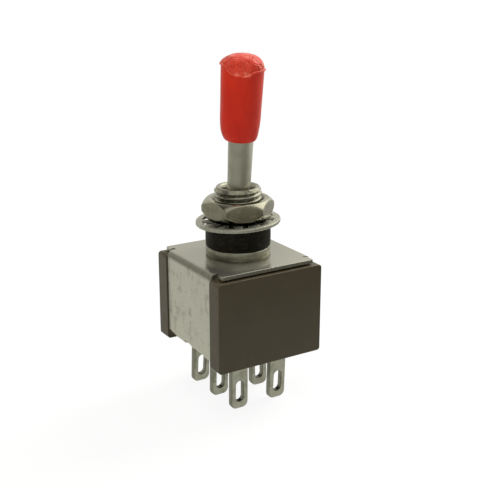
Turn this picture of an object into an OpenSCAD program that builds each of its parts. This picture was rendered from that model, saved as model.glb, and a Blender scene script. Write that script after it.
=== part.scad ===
// Miniature two-pole, centre-off panel toggle switch with six solder lugs and a soft
// push-on lever cap. All sizes are in millimetres. The origin is on the bushing's axis,
// level with the tips of the lugs. +Z points up the bushing, and the lever swings along Y.

/* [Case] */
// Width of the case over its two end flanges
case_width = 14.9; // [14.3:0.1:16.5]
// Depth of the case from its front face to its back face
case_depth = 15.7; // [15.1:0.1:17.5]
// Height of the case from the underside of its floor to its rim
case_height = 10.45; // [10.2:0.05:12]
// Thickness of each end flange
flange_thickness = 2.25; // [1.9:0.05:2.4]
// How far the flanges stand out beyond the steel legs
flange_stand = 0.2; // [0.1:0.05:0.4]
// How far the flanges reach below the floor
flange_drop = 1.25; // [0.8:0.05:1.6]
// Gap between the flange tops and the steel plate
flange_gap = 0.16; // [0.05:0.01:0.3]
// Corner radius of the flanges
flange_corner = 0.4; // [0.2:0.05:0.8]
// Thickness of the floor that the terminals pass through
floor_thickness = 1.2; // [1:0.05:1.3]
// Thickness of the side walls behind the steel legs
side_wall = 1; // [0.8:0.05:1.1]
// Thickness of the end walls left in front of and behind the contact chambers
end_wall = 1.45; // [1:0.05:1.6]
// Thickness of the barrier between the two poles
barrier_thickness = 0.8; // [0.6:0.05:1]

/* [Steel frame] */
// Thickness of the sheet steel
sheet = 0.5; // [0.4:0.05:0.6]
// Inside radius of the bends between the plate and its legs
bend_radius = 0.23; // [0.15:0.01:0.35]
// How far the plate's edges are set back from the case's front and back faces
plate_setback = 0.6; // [0.3:0.05:0.9]
// Width of the relief notches at the ends of the bends
relief_width = 0.4; // [0.3:0.05:0.6]
// How far the relief notches reach into the plate
relief_depth = 0.5; // [0.3:0.05:0.8]
// Width of each tab clinched under the case
tab_width = 2; // [1.4:0.1:2.6]
// Distance between the two tabs of a leg, centre to centre
tab_spacing = 5; // [4:0.1:6.5]
// How far the tabs reach under the case from the legs' outer faces
tab_reach = 1.4; // [1:0.1:1.6]

/* [Bushing] */
// Outside diameter of the thread
thread_diameter = 6; // [5.9:0.05:6.4]
// Height of the bushing above the steel plate
bushing_height = 8.75; // [8.5:0.05:10]
// Diameter of the collar that stands on the plate
collar_diameter = 8.25; // [7.6:0.05:9]
// Height of the collar
collar_height = 1.2; // [0.8:0.05:1.4]
// Chamfer round the bushing's rim
rim_chamfer = 0.24; // [0.1:0.02:0.3]
// Diameter of the spigot that passes through the plate
spigot_diameter = 6.6; // [6.5:0.05:7]
// Height of the lip that rivets the spigot under the plate
rivet_height = 0.5; // [0.4:0.05:0.6]
// How far the riveted lip spreads beyond the spigot
rivet_flare = 0.5; // [0.3:0.05:0.7]

/* [Panel hardware] */
// Outside diameter of the sealing ring
seal_diameter = 8.25; // [7.6:0.05:9]
// Height of the sealing ring
seal_height = 2.67; // [2.2:0.01:2.8]
// Outside diameter of the lock washer
washer_diameter = 10.7; // [10.2:0.1:11.4]
// Radial width of the lock washer's flat band
washer_band = 0.8; // [0.6:0.05:1]
// Thickness of the lock washer's sheet
washer_sheet = 0.45; // [0.35:0.01:0.5]
// Number of teeth inside the lock washer
washer_teeth = 12; // [8:1:14]
// Width of each tooth
tooth_width = 1.1; // [0.8:0.05:1.3]
// Twist of each tooth out of the washer's plane, in degrees
tooth_twist = 16; // [8:1:20]
// Width across the flats of the nut
nut_flats = 8; // [7.8:0.1:8.6]
// Height of the nut
nut_height = 2.6; // [2.2:0.05:2.7]
// Radius of the rounded crown turned on the nut's corners
nut_crown = 1.46; // [1.4:0.02:2]
// Turn of the nut about the bushing, in degrees
nut_turn = -20; // [-30:1:30]

/* [Lever] */
// Depth of the pivot below the bushing's rim
pivot_depth = 3.15; // [2.8:0.05:3.3]
// Diameter of the pivot ball
ball_diameter = 4; // [3.9:0.05:4.2]
// Diameter of the cross pin through the ball
pin_diameter = 0.9; // [0.7:0.05:1]
// How far the cross pin stands out on each side of the ball
pin_reach = 0.4; // [0.3:0.05:0.45]
// Diameter of the lever where it leaves the ball
lever_root_diameter = 2.8; // [2.5:0.05:2.9]
// Diameter of the lever where it enters the cap
lever_diameter = 3.1; // [2.8:0.05:3.3]
// Length of the lever from the pivot to the mouth of the cap
lever_reach = 8.85; // [7.5:0.05:10.5]
// Diameter of the stem below the ball
stem_diameter = 2; // [1.6:0.05:2.1]
// Tilt of the lever from upright to either switched position, in degrees
throw_angle = 12; // [9:0.5:12.5]
// Tilt at which the lever rests within its play in the centre position, in degrees
rest_lean = 4.5; // [0:0.5:6]

/* [Lever cap] */
// Length of the cap
cap_length = 10.7; // [9:0.1:13]
// Diameter of the cap where its dome begins
cap_diameter = 5.2; // [4.8:0.05:5.6]
// Diameter of the cap above its rounded skirt
cap_waist = 4.84; // [4.4:0.02:5]
// Diameter of the cap's mouth, outside
cap_mouth = 3.5; // [3.5:0.05:4]
// Height of the rounded skirt at the mouth
skirt_height = 3; // [2:0.1:3.5]
// Height of the domed end
dome_height = 1.6; // [1.2:0.05:2.2]
// How far the moulding lip stands out below the dome
lip_width = 0.2; // [0.1:0.02:0.24]
// Thickness of the soft end over the lever's tip
cap_end = 1.5; // [1:0.1:2.5]

/* [Actuator] */
// How far the plungers stand out below the block
plunger_exposed = 2; // [1.6:0.05:2.4]
// Thickness of the web that joins the two plunger sockets
block_web = 1.8; // [1.4:0.1:2.2]
// Wall round each plunger
socket_wall = 0.55; // [0.4:0.05:0.7]
// Cover left above each plunger spring
socket_cover = 0.6; // [0.4:0.05:0.8]
// Diameter of each plunger
plunger_diameter = 2.1; // [1.9:0.05:2.3]
// Wall of each hollow plunger
plunger_wall = 0.3; // [0.25:0.05:0.35]
// Diameter of the plunger's rounded nose
nose_diameter = 1.4; // [1.2:0.05:1.6]
// Length of the nose, from full diameter to tip
nose_length = 1.3; // [1.2:0.05:1.5]
// How far a plunger can be pushed up
plunger_travel = 0.5; // [0.3:0.05:0.6]
// Diameter of the spring's wire
spring_wire = 0.2; // [0.14:0.02:0.24]
// Number of turns in the spring
spring_turns = 6; // [4:1:8]

/* [Contacts] */
// Distance between the two poles
pole_pitch = 5.8; // [5.5:0.05:6.2]
// Distance between neighbouring terminals of a pole
row_pitch = 4.8; // [4.6:0.05:5]
// Width of a solder lug
lug_width = 2.4; // [2:0.05:2.6]
// Thickness of a solder lug
lug_thickness = 0.8; // [0.6:0.05:1]
// Length of a lug below the case's floor
lug_length = 7.95; // [6.5:0.05:9]
// Corner radius of a lug's end
lug_corner = 0.7; // [0.4:0.05:1]
// Width of the eye in a lug
eye_width = 1.1; // [0.8:0.05:1.2]
// Height of the eye in a lug
eye_height = 2.8; // [2:0.05:3.2]
// Metal left between the eye and the lug's tip
eye_margin = 0.95; // [0.8:0.05:1.2]
// Height of the rocker's pivot above the case's floor
rocker_rise = 1.85; // [1.7:0.05:2.1]
// Thickness of the rocker's strip
rocker_sheet = 0.6; // [0.5:0.05:0.65]
// Width of the rocker's strip
rocker_width = 2.6; // [2:0.05:2.8]
// Thickness of the rocker over its pivot
rocker_crown = 0.4; // [0.3:0.05:0.5]
// Length of the rocker's cheeks, along the strip
cheek_length = 1.8; // [1.4:0.1:2]
// Thickness of the rocker's cheeks
cheek_sheet = 0.4; // [0.3:0.05:0.45]
// Turn of the rocker for each degree of the lever
rocker_ratio = 0.6; // [0.5:0.05:0.65]
// Diameter of the contact buttons
button_diameter = 1.5; // [1.1:0.05:1.6]
// Height of a contact button
button_height = 0.25; // [0.15:0.05:0.35]

/* [Clearances] */
// Running clearance round the pivot ball
ball_clearance = 0.05; // [0.03:0.01:0.1]
// Running clearance of the cross pin in the bushing's grooves
pin_clearance = 0.03; // [0.02:0.01:0.06]
// Clearance of the lever from the bushing at the end of its throw
swing_clearance = 0.07; // [0.03:0.01:0.12]
// Radial clearance of the hardware on the thread
thread_clearance = 0.04; // [0.02:0.01:0.1]
// Clearance of the cap's bore and of fitted faces that stay still
fit_clearance = 0.02; // [0.01:0.01:0.05]
// Clearance of a plunger in its socket
plunger_clearance = 0.05; // [0.03:0.01:0.1]
// Clearance between a plunger's nose and the rocker
nose_clearance = 0.04; // [0.02:0.01:0.08]
// Clearance of the rocker on its pivot edge
rocker_clearance = 0.04; // [0.02:0.01:0.08]
// Clearance left between closed contacts
contact_clearance = 0.03; // [0.02:0.01:0.08]
// Clearance of the rocker's cheeks from the sides of the middle terminal
cheek_clearance = 0.1; // [0.05:0.01:0.15]
// Clearance of a spring inside its plunger
spring_clearance = 0.05; // [0.03:0.01:0.1]
// Space left over a plunger that is pushed right up
plunger_stop = 0.3; // [0.2:0.05:0.4]
// Clearance of a terminal in its slot
slot_clearance = 0.05; // [0.02:0.01:0.1]
// Clearance of the actuator block from the side walls
block_clearance = 0.15; // [0.08:0.01:0.3]
// Clearance of the block under the riveted lip, at the pivot's axis
lip_clearance = 0.65; // [0.5:0.05:0.8]
// Clearance of the block over the barrier between the poles
barrier_clearance = 0.7; // [0.5:0.05:0.9]

/* [Hidden] */

$fn = 64;
through = 20; // longer than anything that is cut through
join = 0.1;   // how far one solid runs into the next that it is part of
over = 1;     // how far a cut runs past the face it opens

left = -1;
right = 1;
front = -1;
rear = 1;

phenolic = [0.24, 0.21, 0.16];
steel = [0.66, 0.65, 0.6];
nickel = [0.6, 0.59, 0.52];
rubber = [0.08, 0.08, 0.05];
tinned = [0.7, 0.69, 0.62];
copper = [0.72, 0.45, 0.28];
spring_steel = [0.55, 0.55, 0.52];
nylon = [0.9, 0.89, 0.83];
cap_red = [0.82, 0.2, 0.14];

// Levels of the case, its floor and the steel plate
floor_z = lug_length;
floor_top = floor_z + floor_thickness;
rim_z = floor_z + case_height;
plate_z = rim_z + sheet;

// Half widths of the case and its chambers
leg_outer = case_width / 2 - flange_stand;
case_side = leg_outer - sheet;
chamber_side = case_side - side_wall;
chamber_end = case_depth / 2 - end_wall;
flange_inner = case_depth / 2 - flange_thickness;
leg_half = flange_inner - fit_clearance;
plate_half = case_depth / 2 - plate_setback;

// Bushing and the stack on it
thread_r = thread_diameter / 2;
spigot_r = spigot_diameter / 2;
bushing_top = plate_z + bushing_height;
bushing_bottom = rim_z - rivet_height;
seal_bottom = plate_z + collar_height;
tooth_half = tooth_width / 2 * sin(tooth_twist) + washer_sheet / 2 * cos(tooth_twist);
washer_z = seal_bottom + seal_height + tooth_half;
nut_bottom = washer_z + tooth_half;

// Pivot, and the distances below it of what the lever carries
pivot_z = bushing_top - pivot_depth;
ball_r = ball_diameter / 2;
seat_r = ball_r + ball_clearance;
pin_r = pin_diameter / 2;
pin_half = ball_r + pin_reach;
stem_r = stem_diameter / 2;
root_r = lever_root_diameter / 2;
lever_r = lever_diameter / 2;
rocker_z = floor_top + rocker_rise;
bead = 0.03; // how far the pivot edge's bead stands out from the lug's faces
edge_r = lug_thickness / 2 + bead;
groove_r = edge_r + rocker_clearance;
rocker_top = groove_r + rocker_crown;
nose_r = nose_diameter / 2;
plunger_r = plunger_diameter / 2;
socket_r = plunger_r + plunger_clearance;
plunger_tip = pivot_z - rocker_z - rocker_top - nose_clearance;
block_top = pivot_z - bushing_bottom + lip_clearance;
block_bottom = plunger_tip - plunger_exposed;
socket_top = block_top + socket_cover;
plunger_top = socket_top + plunger_travel + plunger_stop;
spring_seat = block_bottom;
spring_r = plunger_r - plunger_wall - spring_clearance - spring_wire / 2;
boss_r = socket_r + socket_wall;
paddle_margin = 0.15;
paddle_width = pole_pitch - 2 * (boss_r + paddle_margin);
paddle_cover = 0.4;
paddle_depth = block_web - 2 * paddle_cover;
paddle_end = block_bottom - 0.5;

// Contacts
contact_inset = 0.6; // how far inside the outer terminals the contacts meet
contact_y = row_pitch - contact_inset;
closed_angle = rocker_ratio * throw_angle;
track_angle = throw_angle + 1.5; // the nose's track runs a little past the throw
button_margin = 0.1;
cheek_inner = lug_width / 2 + cheek_clearance;
cheek_top = rocker_top - 0.15;
cheek_bottom = -0.6;
shoulder_height = 0.7;
shoulder_width = lug_width + 0.7;
pad_sheet = 0.5;
pad_width = lug_width + 0.3;
barrier_top = pivot_z - block_bottom - barrier_clearance;

// Places something in the lever's own frame, whose origin is the pivot, at rest
module on_lever() {
    translate([0, 0, pivot_z]) rotate([rest_lean, 0, 0]) children();
}

// Places something in a rocker's own frame, whose origin is its pivot edge, at rest
module on_rocker(side) {
    translate([side * pole_pitch / 2, 0, rocker_z])
        rotate([-rocker_ratio * rest_lean, 0, 0]) children();
}

module rounded_rectangle(width, height, radius) {
    square([width - 2 * radius, height], center = true);
    square([width, height - 2 * radius], center = true);
    for (x = [-1, 1], y = [-1, 1])
        translate([x * (width / 2 - radius), y * (height / 2 - radius)]) circle(radius);
}

// Stands a flat outline up in the XZ plane, centred on Y, with the given thickness
module upright(thickness) {
    translate([0, thickness / 2, 0]) rotate([90, 0, 0]) linear_extrude(thickness) children();
}

// A box given by its lowest and highest corners
module block(low, high) {
    translate(low) cube(high - low);
}

// The moulded case: two end flanges, a narrower middle that the steel legs lie against,
// and two contact chambers with a barrier between them
module case() {
    flange_top = rim_z - flange_gap;
    flange_bottom = floor_z - flange_drop;
    rim_cut = bend_radius + fit_clearance;
    color(phenolic) difference() {
        union() {
            upright(2 * flange_inner) polygon([
                [-case_side, floor_z], [case_side, floor_z],
                [case_side, rim_z - rim_cut], [case_side - rim_cut, rim_z],
                [rim_cut - case_side, rim_z], [-case_side, rim_z - rim_cut]
            ]);
            for (end = [front, rear])
                translate([0, end * (case_depth - flange_thickness) / 2, (flange_top + flange_bottom) / 2])
                    upright(flange_thickness)
                        rounded_rectangle(case_width, flange_top - flange_bottom, flange_corner);
        }
        for (side = [left, right]) {
            translate([side * (chamber_side + barrier_thickness / 2) / 2, 0, floor_top + through / 2])
                cube([chamber_side - barrier_thickness / 2, 2 * chamber_end, through], center = true);
            for (row = [-1:1])
                translate([side * pole_pitch / 2, row * row_pitch, floor_z])
                    cube([lug_width + 2 * slot_clearance, lug_thickness + 2 * slot_clearance, through],
                        center = true);
        }
        block([-barrier_thickness, -chamber_end, barrier_top], [barrier_thickness, chamber_end, rim_z + over]);
    }
}

// The folded steel frame: a plate over the case and two legs down its sides, whose tabs are
// clinched under the floor
module steel_frame() {
    bend_outer = bend_radius + sheet;
    plate_side = leg_outer - bend_outer;
    bend_z = plate_z - bend_outer;
    color(steel) difference() {
        union() {
            block([-plate_side, -plate_half, rim_z], [plate_side, plate_half, plate_z]);
            for (side = [0, 1]) mirror([side, 0, 0]) {
                translate([plate_side, leg_half, bend_z]) rotate([90, 0, 0]) rotate_extrude(angle = 90)
                    translate([bend_radius, 0]) square([sheet, 2 * leg_half]);
                block([case_side, -leg_half, floor_z], [leg_outer, leg_half, bend_z]);
                for (end = [front, rear]) translate([0, end * tab_spacing / 2, floor_z]) clinched_tab();
            }
        }
        translate([0, 0, rim_z]) cylinder(r = spigot_r + fit_clearance, h = 4 * sheet, center = true);
        for (x = [-1, 1], y = [-1, 1])
            translate([x * plate_side, y * (leg_half + relief_width / 2), rim_z])
                cube([2 * relief_depth, relief_width, 4 * sheet], center = true);
    }
}

// One tab of a leg, folded under the case's edge
module clinched_tab() {
    translate([case_side, tab_width / 2, 0]) mirror([0, 0, 1]) rotate([90, 0, 0])
        rotate_extrude(angle = 90) square([sheet, tab_width]);
    block([leg_outer - tab_reach, -tab_width / 2, -sheet], [case_side, tab_width / 2, 0]);
}

// The turned bushing: riveted spigot, collar, thread outline and the bore with the ball seat
module bushing() {
    collar_r = collar_diameter / 2;
    edge = 0.1;
    rivet_edge = 0.1;
    bore_margin = 0.05;
    color(nickel) difference() {
        rotate_extrude() polygon([
            [0, bushing_bottom], [spigot_r, bushing_bottom],
            [spigot_r + rivet_flare, rim_z - rivet_edge], [spigot_r + rivet_flare, rim_z],
            [spigot_r, rim_z], [spigot_r, plate_z],
            [collar_r, plate_z], [collar_r, seal_bottom - edge], [collar_r - edge, seal_bottom],
            [thread_r, seal_bottom], [thread_r, bushing_top - rim_chamfer],
            [thread_r - rim_chamfer, bushing_top], [0, bushing_top]
        ]);
        translate([0, 0, pivot_z]) {
            sphere(seat_r);
            mirror([0, 0, 1]) cylinder(r = seat_r + bore_margin, h = through);
            upright_groove(pin_half + pin_clearance, pin_r + pin_clearance);
            swept_cone(root_r, pivot_depth + over);
            mirror([0, 0, 1]) swept_cone(stem_r, pivot_z - bushing_bottom + over);
        }
    }
}

// The two grooves that the cross pin is slid up from below, rounded where it turns
module upright_groove(half, r) {
    rotate([0, 90, 0]) cylinder(r = r, h = 2 * half, center = true);
    block([-half, -r, -through], [half, r, 0]);
}

// The space that a round rod of radius r sweeps as it tilts to either end of its throw
module swept_cone(r, height) {
    start_r = r / cos(throw_angle) + swing_clearance;
    cylinder(r1 = start_r, r2 = start_r + height * tan(throw_angle), h = height);
}

// The soft ring that seals the panel hole
module sealing_ring() {
    outer = seal_diameter / 2;
    edge = 0.15;
    color(rubber) rotate_extrude() translate([0, seal_bottom]) polygon([
        [thread_r + thread_clearance, 0], [outer - edge, 0], [outer, edge],
        [outer, seal_height - edge], [outer - edge, seal_height], [thread_r + thread_clearance, seal_height]
    ]);
}

// The internal-tooth lock washer, its teeth twisted out of a flat band
module lock_washer() {
    band_r = washer_diameter / 2 - washer_band;
    tip_r = thread_r + thread_clearance + 0.1; // the teeth stop a little short of the bore
    root_end = band_r + washer_band / 4;
    color(nickel) translate([0, 0, washer_z]) {
        difference() {
            cylinder(d = washer_diameter, h = washer_sheet, center = true);
            cylinder(r = band_r, h = 2 * washer_sheet, center = true);
        }
        for (tooth = [0:washer_teeth - 1])
            rotate(360 * tooth / washer_teeth) rotate([tooth_twist, 0, 0])
                translate([(tip_r + root_end) / 2, 0, 0])
                    cube([root_end - tip_r, tooth_width, washer_sheet], center = true);
    }
}

// The hexagon nut, turned to a rounded crown above and below
module hex_nut() {
    corner_flat = 0.03; // keeps the corners of the hexagon just inside the crown
    crown_centre = nut_flats / 2 / cos(30) - nut_crown + corner_flat;
    bore_r = thread_r + thread_clearance;
    countersink = 0.35;
    color(nickel) translate([0, 0, nut_bottom + nut_height / 2]) rotate(nut_turn) difference() {
        intersection() {
            cylinder(d = nut_flats / cos(30), h = nut_height, center = true, $fn = 6);
            rotate_extrude() {
                translate([0, -nut_height / 2]) square([crown_centre + nut_crown / 4, nut_height]);
                intersection() {
                    translate([crown_centre, 0]) circle(nut_crown);
                    translate([0, -nut_height / 2]) square([nut_flats, nut_height]);
                }
            }
        }
        cylinder(r = bore_r, h = through, center = true);
        for (face = [0, 1]) mirror([0, 0, face]) translate([0, 0, nut_height / 2 - countersink])
            cylinder(r1 = bore_r - join, r2 = bore_r + countersink, h = countersink + join);
    }
}

// The turned lever: shaft, pivot ball, stem, and the paddle that carries the actuator block
module lever() {
    tip = lever_reach + cap_length - cap_end;
    edge = 0.4;
    stem_entry = 50; // where the stem's end lies inside the ball, in degrees from its foot
    color(nickel) on_lever() {
        difference() {
            union() {
                sphere(ball_r);
                rotate_extrude() polygon([
                    [0, 0], [root_r, 0], [lever_r, lever_reach], [lever_r, tip - edge],
                    [lever_r - edge, tip], [0, tip]
                ]);
            }
            rotate([0, 90, 0]) cylinder(r = pin_r + fit_clearance, h = through, center = true);
        }
        translate([0, 0, fit_clearance - block_top])
            cylinder(r = stem_r, h = block_top - fit_clearance - ball_r * cos(stem_entry));
        block([-paddle_width / 2, -paddle_depth / 2, -paddle_end],
            [paddle_width / 2, paddle_depth / 2, stem_r - block_top]);
    }
}

// The cross pin that the lever turns on
module pivot_pin() {
    color(spring_steel) on_lever() rotate([0, 90, 0]) cylinder(r = pin_r, h = 2 * pin_half, center = true);
}

// The soft cap pushed over the lever, with a rounded skirt, a moulding lip and a domed end
module lever_cap() {
    bore_r = lever_r + fit_clearance;
    mouth_r = cap_mouth / 2;
    waist_r = cap_waist / 2;
    dome_r = cap_diameter / 2;
    dome_start = cap_length - dome_height;
    lip = dome_start - 0.1;
    lip_edge = 0.05;
    skirt = [for (a = [0:10:90])
        [mouth_r + (waist_r - mouth_r) * sin(a), skirt_height * (1 - cos(a))]];
    moulding = [
        [dome_r, lip - 0.3], [dome_r + lip_width, lip - lip_edge], [dome_r + lip_width, lip + lip_edge]
    ];
    dome = [for (a = [0:10:90]) [dome_r * cos(a), dome_start + dome_height * sin(a)]];
    tip_gap = 0.1;
    bore_end = cap_length - cap_end + tip_gap;
    color(cap_red) on_lever() translate([0, 0, lever_reach]) rotate_extrude()
        polygon(concat([[bore_r, 0]], skirt, moulding, dome, [[0, bore_end], [bore_r, bore_end]]));
}

// The moulded block on the lever's paddle, with a socket for each plunger and guides that
// slide along the side walls
module actuator_block() {
    guide = chamber_side - block_clearance;
    guide_sheet = 0.6;
    color(nylon) on_lever() difference() {
        union() {
            block([-guide, -block_web / 2, -block_bottom], [guide, block_web / 2, -block_top]);
            for (side = [left, right]) {
                translate([side * pole_pitch / 2, 0, -block_bottom])
                    cylinder(r = boss_r, h = block_bottom - block_top);
                translate([side * (guide - guide_sheet / 2), 0, -(block_bottom + block_top) / 2])
                    cube([guide_sheet, 2 * boss_r, block_bottom - block_top], center = true);
            }
        }
        for (side = [left, right]) translate([side * pole_pitch / 2, 0, -block_bottom - over])
            cylinder(r = socket_r, h = block_bottom - socket_top + over);
        block([-paddle_width / 2 - fit_clearance, -paddle_depth / 2 - fit_clearance,
                -paddle_end - fit_clearance],
            [paddle_width / 2 + fit_clearance, paddle_depth / 2 + fit_clearance, over - block_top]);
    }
}

// A hollow plunger with a tapered, rounded nose
module plunger(side) {
    shoulder = plunger_tip - nose_length;
    nose_centre = plunger_tip - nose_r;
    taper = 20; // where the cone meets the rounded nose, in degrees above its centre
    color(nickel) on_lever() translate([side * pole_pitch / 2, 0, 0]) mirror([0, 0, 1]) difference() {
        union() {
            translate([0, 0, plunger_top]) cylinder(r = plunger_r, h = shoulder - plunger_top);
            translate([0, 0, shoulder])
                cylinder(r1 = plunger_r, r2 = nose_r * cos(taper),
                    h = nose_centre + nose_r * sin(taper) - shoulder);
            translate([0, 0, nose_centre]) sphere(nose_r);
        }
        cylinder(r = plunger_r - plunger_wall, h = spring_seat);
    }
}

// A coil of round wire standing on Z from 0 to its length
module coil(radius, wire, length, turns) {
    sides = 6;
    steps = 12 * turns;
    points = [for (i = [0:steps], j = [0:sides - 1])
        let (turn = 360 * turns * i / steps, r = radius + wire / 2 * cos(360 * j / sides))
            [r * cos(turn), r * sin(turn),
                wire / 2 + (length - wire) * i / steps + wire / 2 * sin(360 * j / sides)]];
    walls = [for (i = [0:steps - 1], j = [0:sides - 1])
        let (a = i * sides + j, b = i * sides + (j + 1) % sides)
            [a, a + sides, b + sides, b]];
    start = [for (j = [0:sides - 1]) j];
    end = [for (j = [0:sides - 1]) steps * sides + sides - 1 - j];
    polyhedron(points, concat(walls, [start, end]));
}

module plunger_spring(side) {
    color(spring_steel) on_lever() translate([side * pole_pitch / 2, 0, -spring_seat])
        coil(spring_r, spring_wire, spring_seat - socket_top, spring_turns);
}

// Where the centre of the plunger's nose is in the rocker's frame, with the lever tilted by t
function nose_path(t) = let (
    reach = plunger_tip - nose_r,
    y = reach * sin(t),
    z = pivot_z - rocker_z - reach * cos(t),
    a = rocker_ratio * t
) [y * cos(a) - z * sin(a), y * sin(a) + z * cos(a)];

// The point of the rocker's upper face that the nose stands over, with the lever tilted by t
function track(t) = let (
    ahead = nose_path(t + 0.5) - nose_path(t - 0.5),
    down = [ahead[1], -ahead[0]] / norm(ahead)
) nose_path(t) + down * (nose_r + nose_clearance);

// A rocker contact: a strip whose upper face follows the plunger's nose, a groove that rides
// on the middle terminal's edge, cheeks that hold it there, and a button under each end
module rocker(side) {
    arm = contact_y + button_diameter / 2 + button_margin;
    valley = [for (i = [-9:9]) track(track_angle * i / 9)];
    shelf = track(track_angle)[1];
    upper = concat([[-arm, shelf]], valley, [[arm, shelf]]);
    lower = [for (i = [len(upper) - 1:-1:0]) upper[i] - [0, rocker_sheet]];
    color(copper) on_rocker(side) difference() {
        union() {
            rotate([90, 0, 90]) linear_extrude(rocker_width, center = true) polygon(concat(upper, lower));
            block([-cheek_inner - cheek_sheet, -cheek_length / 2, rocker_top - rocker_sheet],
                [cheek_inner + cheek_sheet, cheek_length / 2, cheek_top]);
            for (cheek = [0, 1]) mirror([cheek, 0, 0])
                block([cheek_inner, -cheek_length / 2, cheek_bottom],
                    [cheek_inner + cheek_sheet, cheek_length / 2, cheek_top]);
            for (end = [front, rear])
                translate([0, end * contact_y, shelf - rocker_sheet - button_height])
                    cylinder(d = button_diameter, h = button_height + join);
        }
        rotate([0, 90, 0]) cylinder(r = groove_r, h = 2 * cheek_inner, center = true);
    }
}

// Height of the fixed contacts' faces, met by the rocker's buttons at the end of the throw
pad_z = let (
    button_z = track(track_angle)[1] - rocker_sheet - button_height,
    reach = contact_y + button_diameter / 2
) rocker_z + button_z * cos(closed_angle) - reach * sin(closed_angle) - contact_clearance;

// The outline of a lug from its tip up to a level, with its eye
module lug_outline(top) {
    translate([0, lug_corner]) {
        translate([-lug_width / 2, 0]) square([lug_width, top - lug_corner]);
        translate([lug_corner - lug_width / 2, -lug_corner])
            square([lug_width - 2 * lug_corner, 2 * lug_corner]);
        for (x = [-1, 1]) translate([x * (lug_width / 2 - lug_corner), 0]) circle(lug_corner);
    }
}

module eye_outline() {
    span = eye_height - eye_width;
    translate([-eye_width / 2, -span / 2]) square([eye_width, span]);
    for (y = [-1, 1]) translate([0, y * span / 2]) circle(d = eye_width);
}

// The part of every terminal below and in the floor, up to the given level, with shoulders
// that rest on the floor
module lug(top) {
    upright(lug_thickness) difference() {
        union() {
            lug_outline(top);
            translate([-shoulder_width / 2, floor_top]) square([shoulder_width, shoulder_height]);
        }
        translate([0, eye_margin + eye_height / 2]) eye_outline();
    }
}

// An outer terminal: its lug, and a pad bent inwards with a contact button
module fixed_terminal(side, end) {
    plate_top = pad_z - button_height;
    color(tinned) translate([side * pole_pitch / 2, end * row_pitch, 0]) {
        lug(plate_top);
        translate([0, -end * (row_pitch - contact_y), 0]) {
            translate([0, 0, plate_top - pad_sheet / 2])
                cube([pad_width, 2 * (row_pitch - contact_y) + lug_thickness, pad_sheet], center = true);
            translate([0, 0, plate_top - join]) cylinder(d = button_diameter, h = button_height + join);
        }
    }
}

// The middle terminal: its lug, ending in the beaded edge that the rocker turns on
module middle_terminal(side) {
    color(tinned) translate([side * pole_pitch / 2, 0, 0]) {
        lug(rocker_z);
        translate([0, 0, rocker_z]) rotate([0, 90, 0]) cylinder(r = edge_r, h = lug_width, center = true);
    }
}

case();
steel_frame();
bushing();
sealing_ring();
lock_washer();
hex_nut();
lever();
pivot_pin();
lever_cap();
actuator_block();
plunger(left);  // plunger_left
plunger(right);  // plunger_right
plunger_spring(left);  // plunger_spring_left
plunger_spring(right);  // plunger_spring_right
rocker(left);  // rocker_left
rocker(right);  // rocker_right
fixed_terminal(left, front);  // terminal_front_left
middle_terminal(left);  // terminal_middle_left
fixed_terminal(left, rear);  // terminal_rear_left
fixed_terminal(right, front);  // terminal_front_right
middle_terminal(right);  // terminal_middle_right
fixed_terminal(right, rear);  // terminal_rear_right
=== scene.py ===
"""Looks of a miniature panel toggle switch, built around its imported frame.

Sizes are in millimetres in the fields below, and become metres where a mesh is made. The
frame's origin is on the bushing's axis, level with the tips of the solder lugs, and the
lever swings along Y.
"""

import logging
import math
from dataclasses import dataclass
from enum import Enum
from typing import Callable, Sequence

import bmesh
import bpy
import numpy as np
from mathutils import Matrix, Vector

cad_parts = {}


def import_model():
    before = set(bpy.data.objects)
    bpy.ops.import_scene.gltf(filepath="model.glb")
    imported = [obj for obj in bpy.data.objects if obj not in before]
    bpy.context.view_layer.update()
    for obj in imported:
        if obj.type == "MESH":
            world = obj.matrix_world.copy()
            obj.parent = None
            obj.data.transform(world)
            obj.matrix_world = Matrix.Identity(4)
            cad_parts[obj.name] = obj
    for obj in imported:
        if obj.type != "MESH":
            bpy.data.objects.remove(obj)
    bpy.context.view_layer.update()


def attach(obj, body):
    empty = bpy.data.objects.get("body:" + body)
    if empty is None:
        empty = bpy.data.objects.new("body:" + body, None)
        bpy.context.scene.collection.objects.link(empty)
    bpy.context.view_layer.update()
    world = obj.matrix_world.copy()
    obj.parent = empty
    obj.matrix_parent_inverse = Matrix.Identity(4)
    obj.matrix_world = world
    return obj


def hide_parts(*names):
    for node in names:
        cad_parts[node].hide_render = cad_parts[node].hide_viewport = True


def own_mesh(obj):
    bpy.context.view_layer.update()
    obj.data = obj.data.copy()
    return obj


LOG = logging.getLogger("toggle_switch")
MM = 0.001
TURN = 2 * math.pi
Span = tuple[float, float]
Colour = tuple[float, float, float]


class Body(Enum):
    """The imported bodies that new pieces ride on."""

    BASE = "base"
    LEVER = "lever"


class Side(Enum):
    """The two poles, as the sign of their X."""

    LEFT = -1
    RIGHT = 1


class Row(Enum):
    """The three terminals of a pole, as the sign of their Y."""

    FRONT = -1
    MIDDLE = 0
    REAR = 1


# --------------------------------------------------------------------------- shader maths


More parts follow.
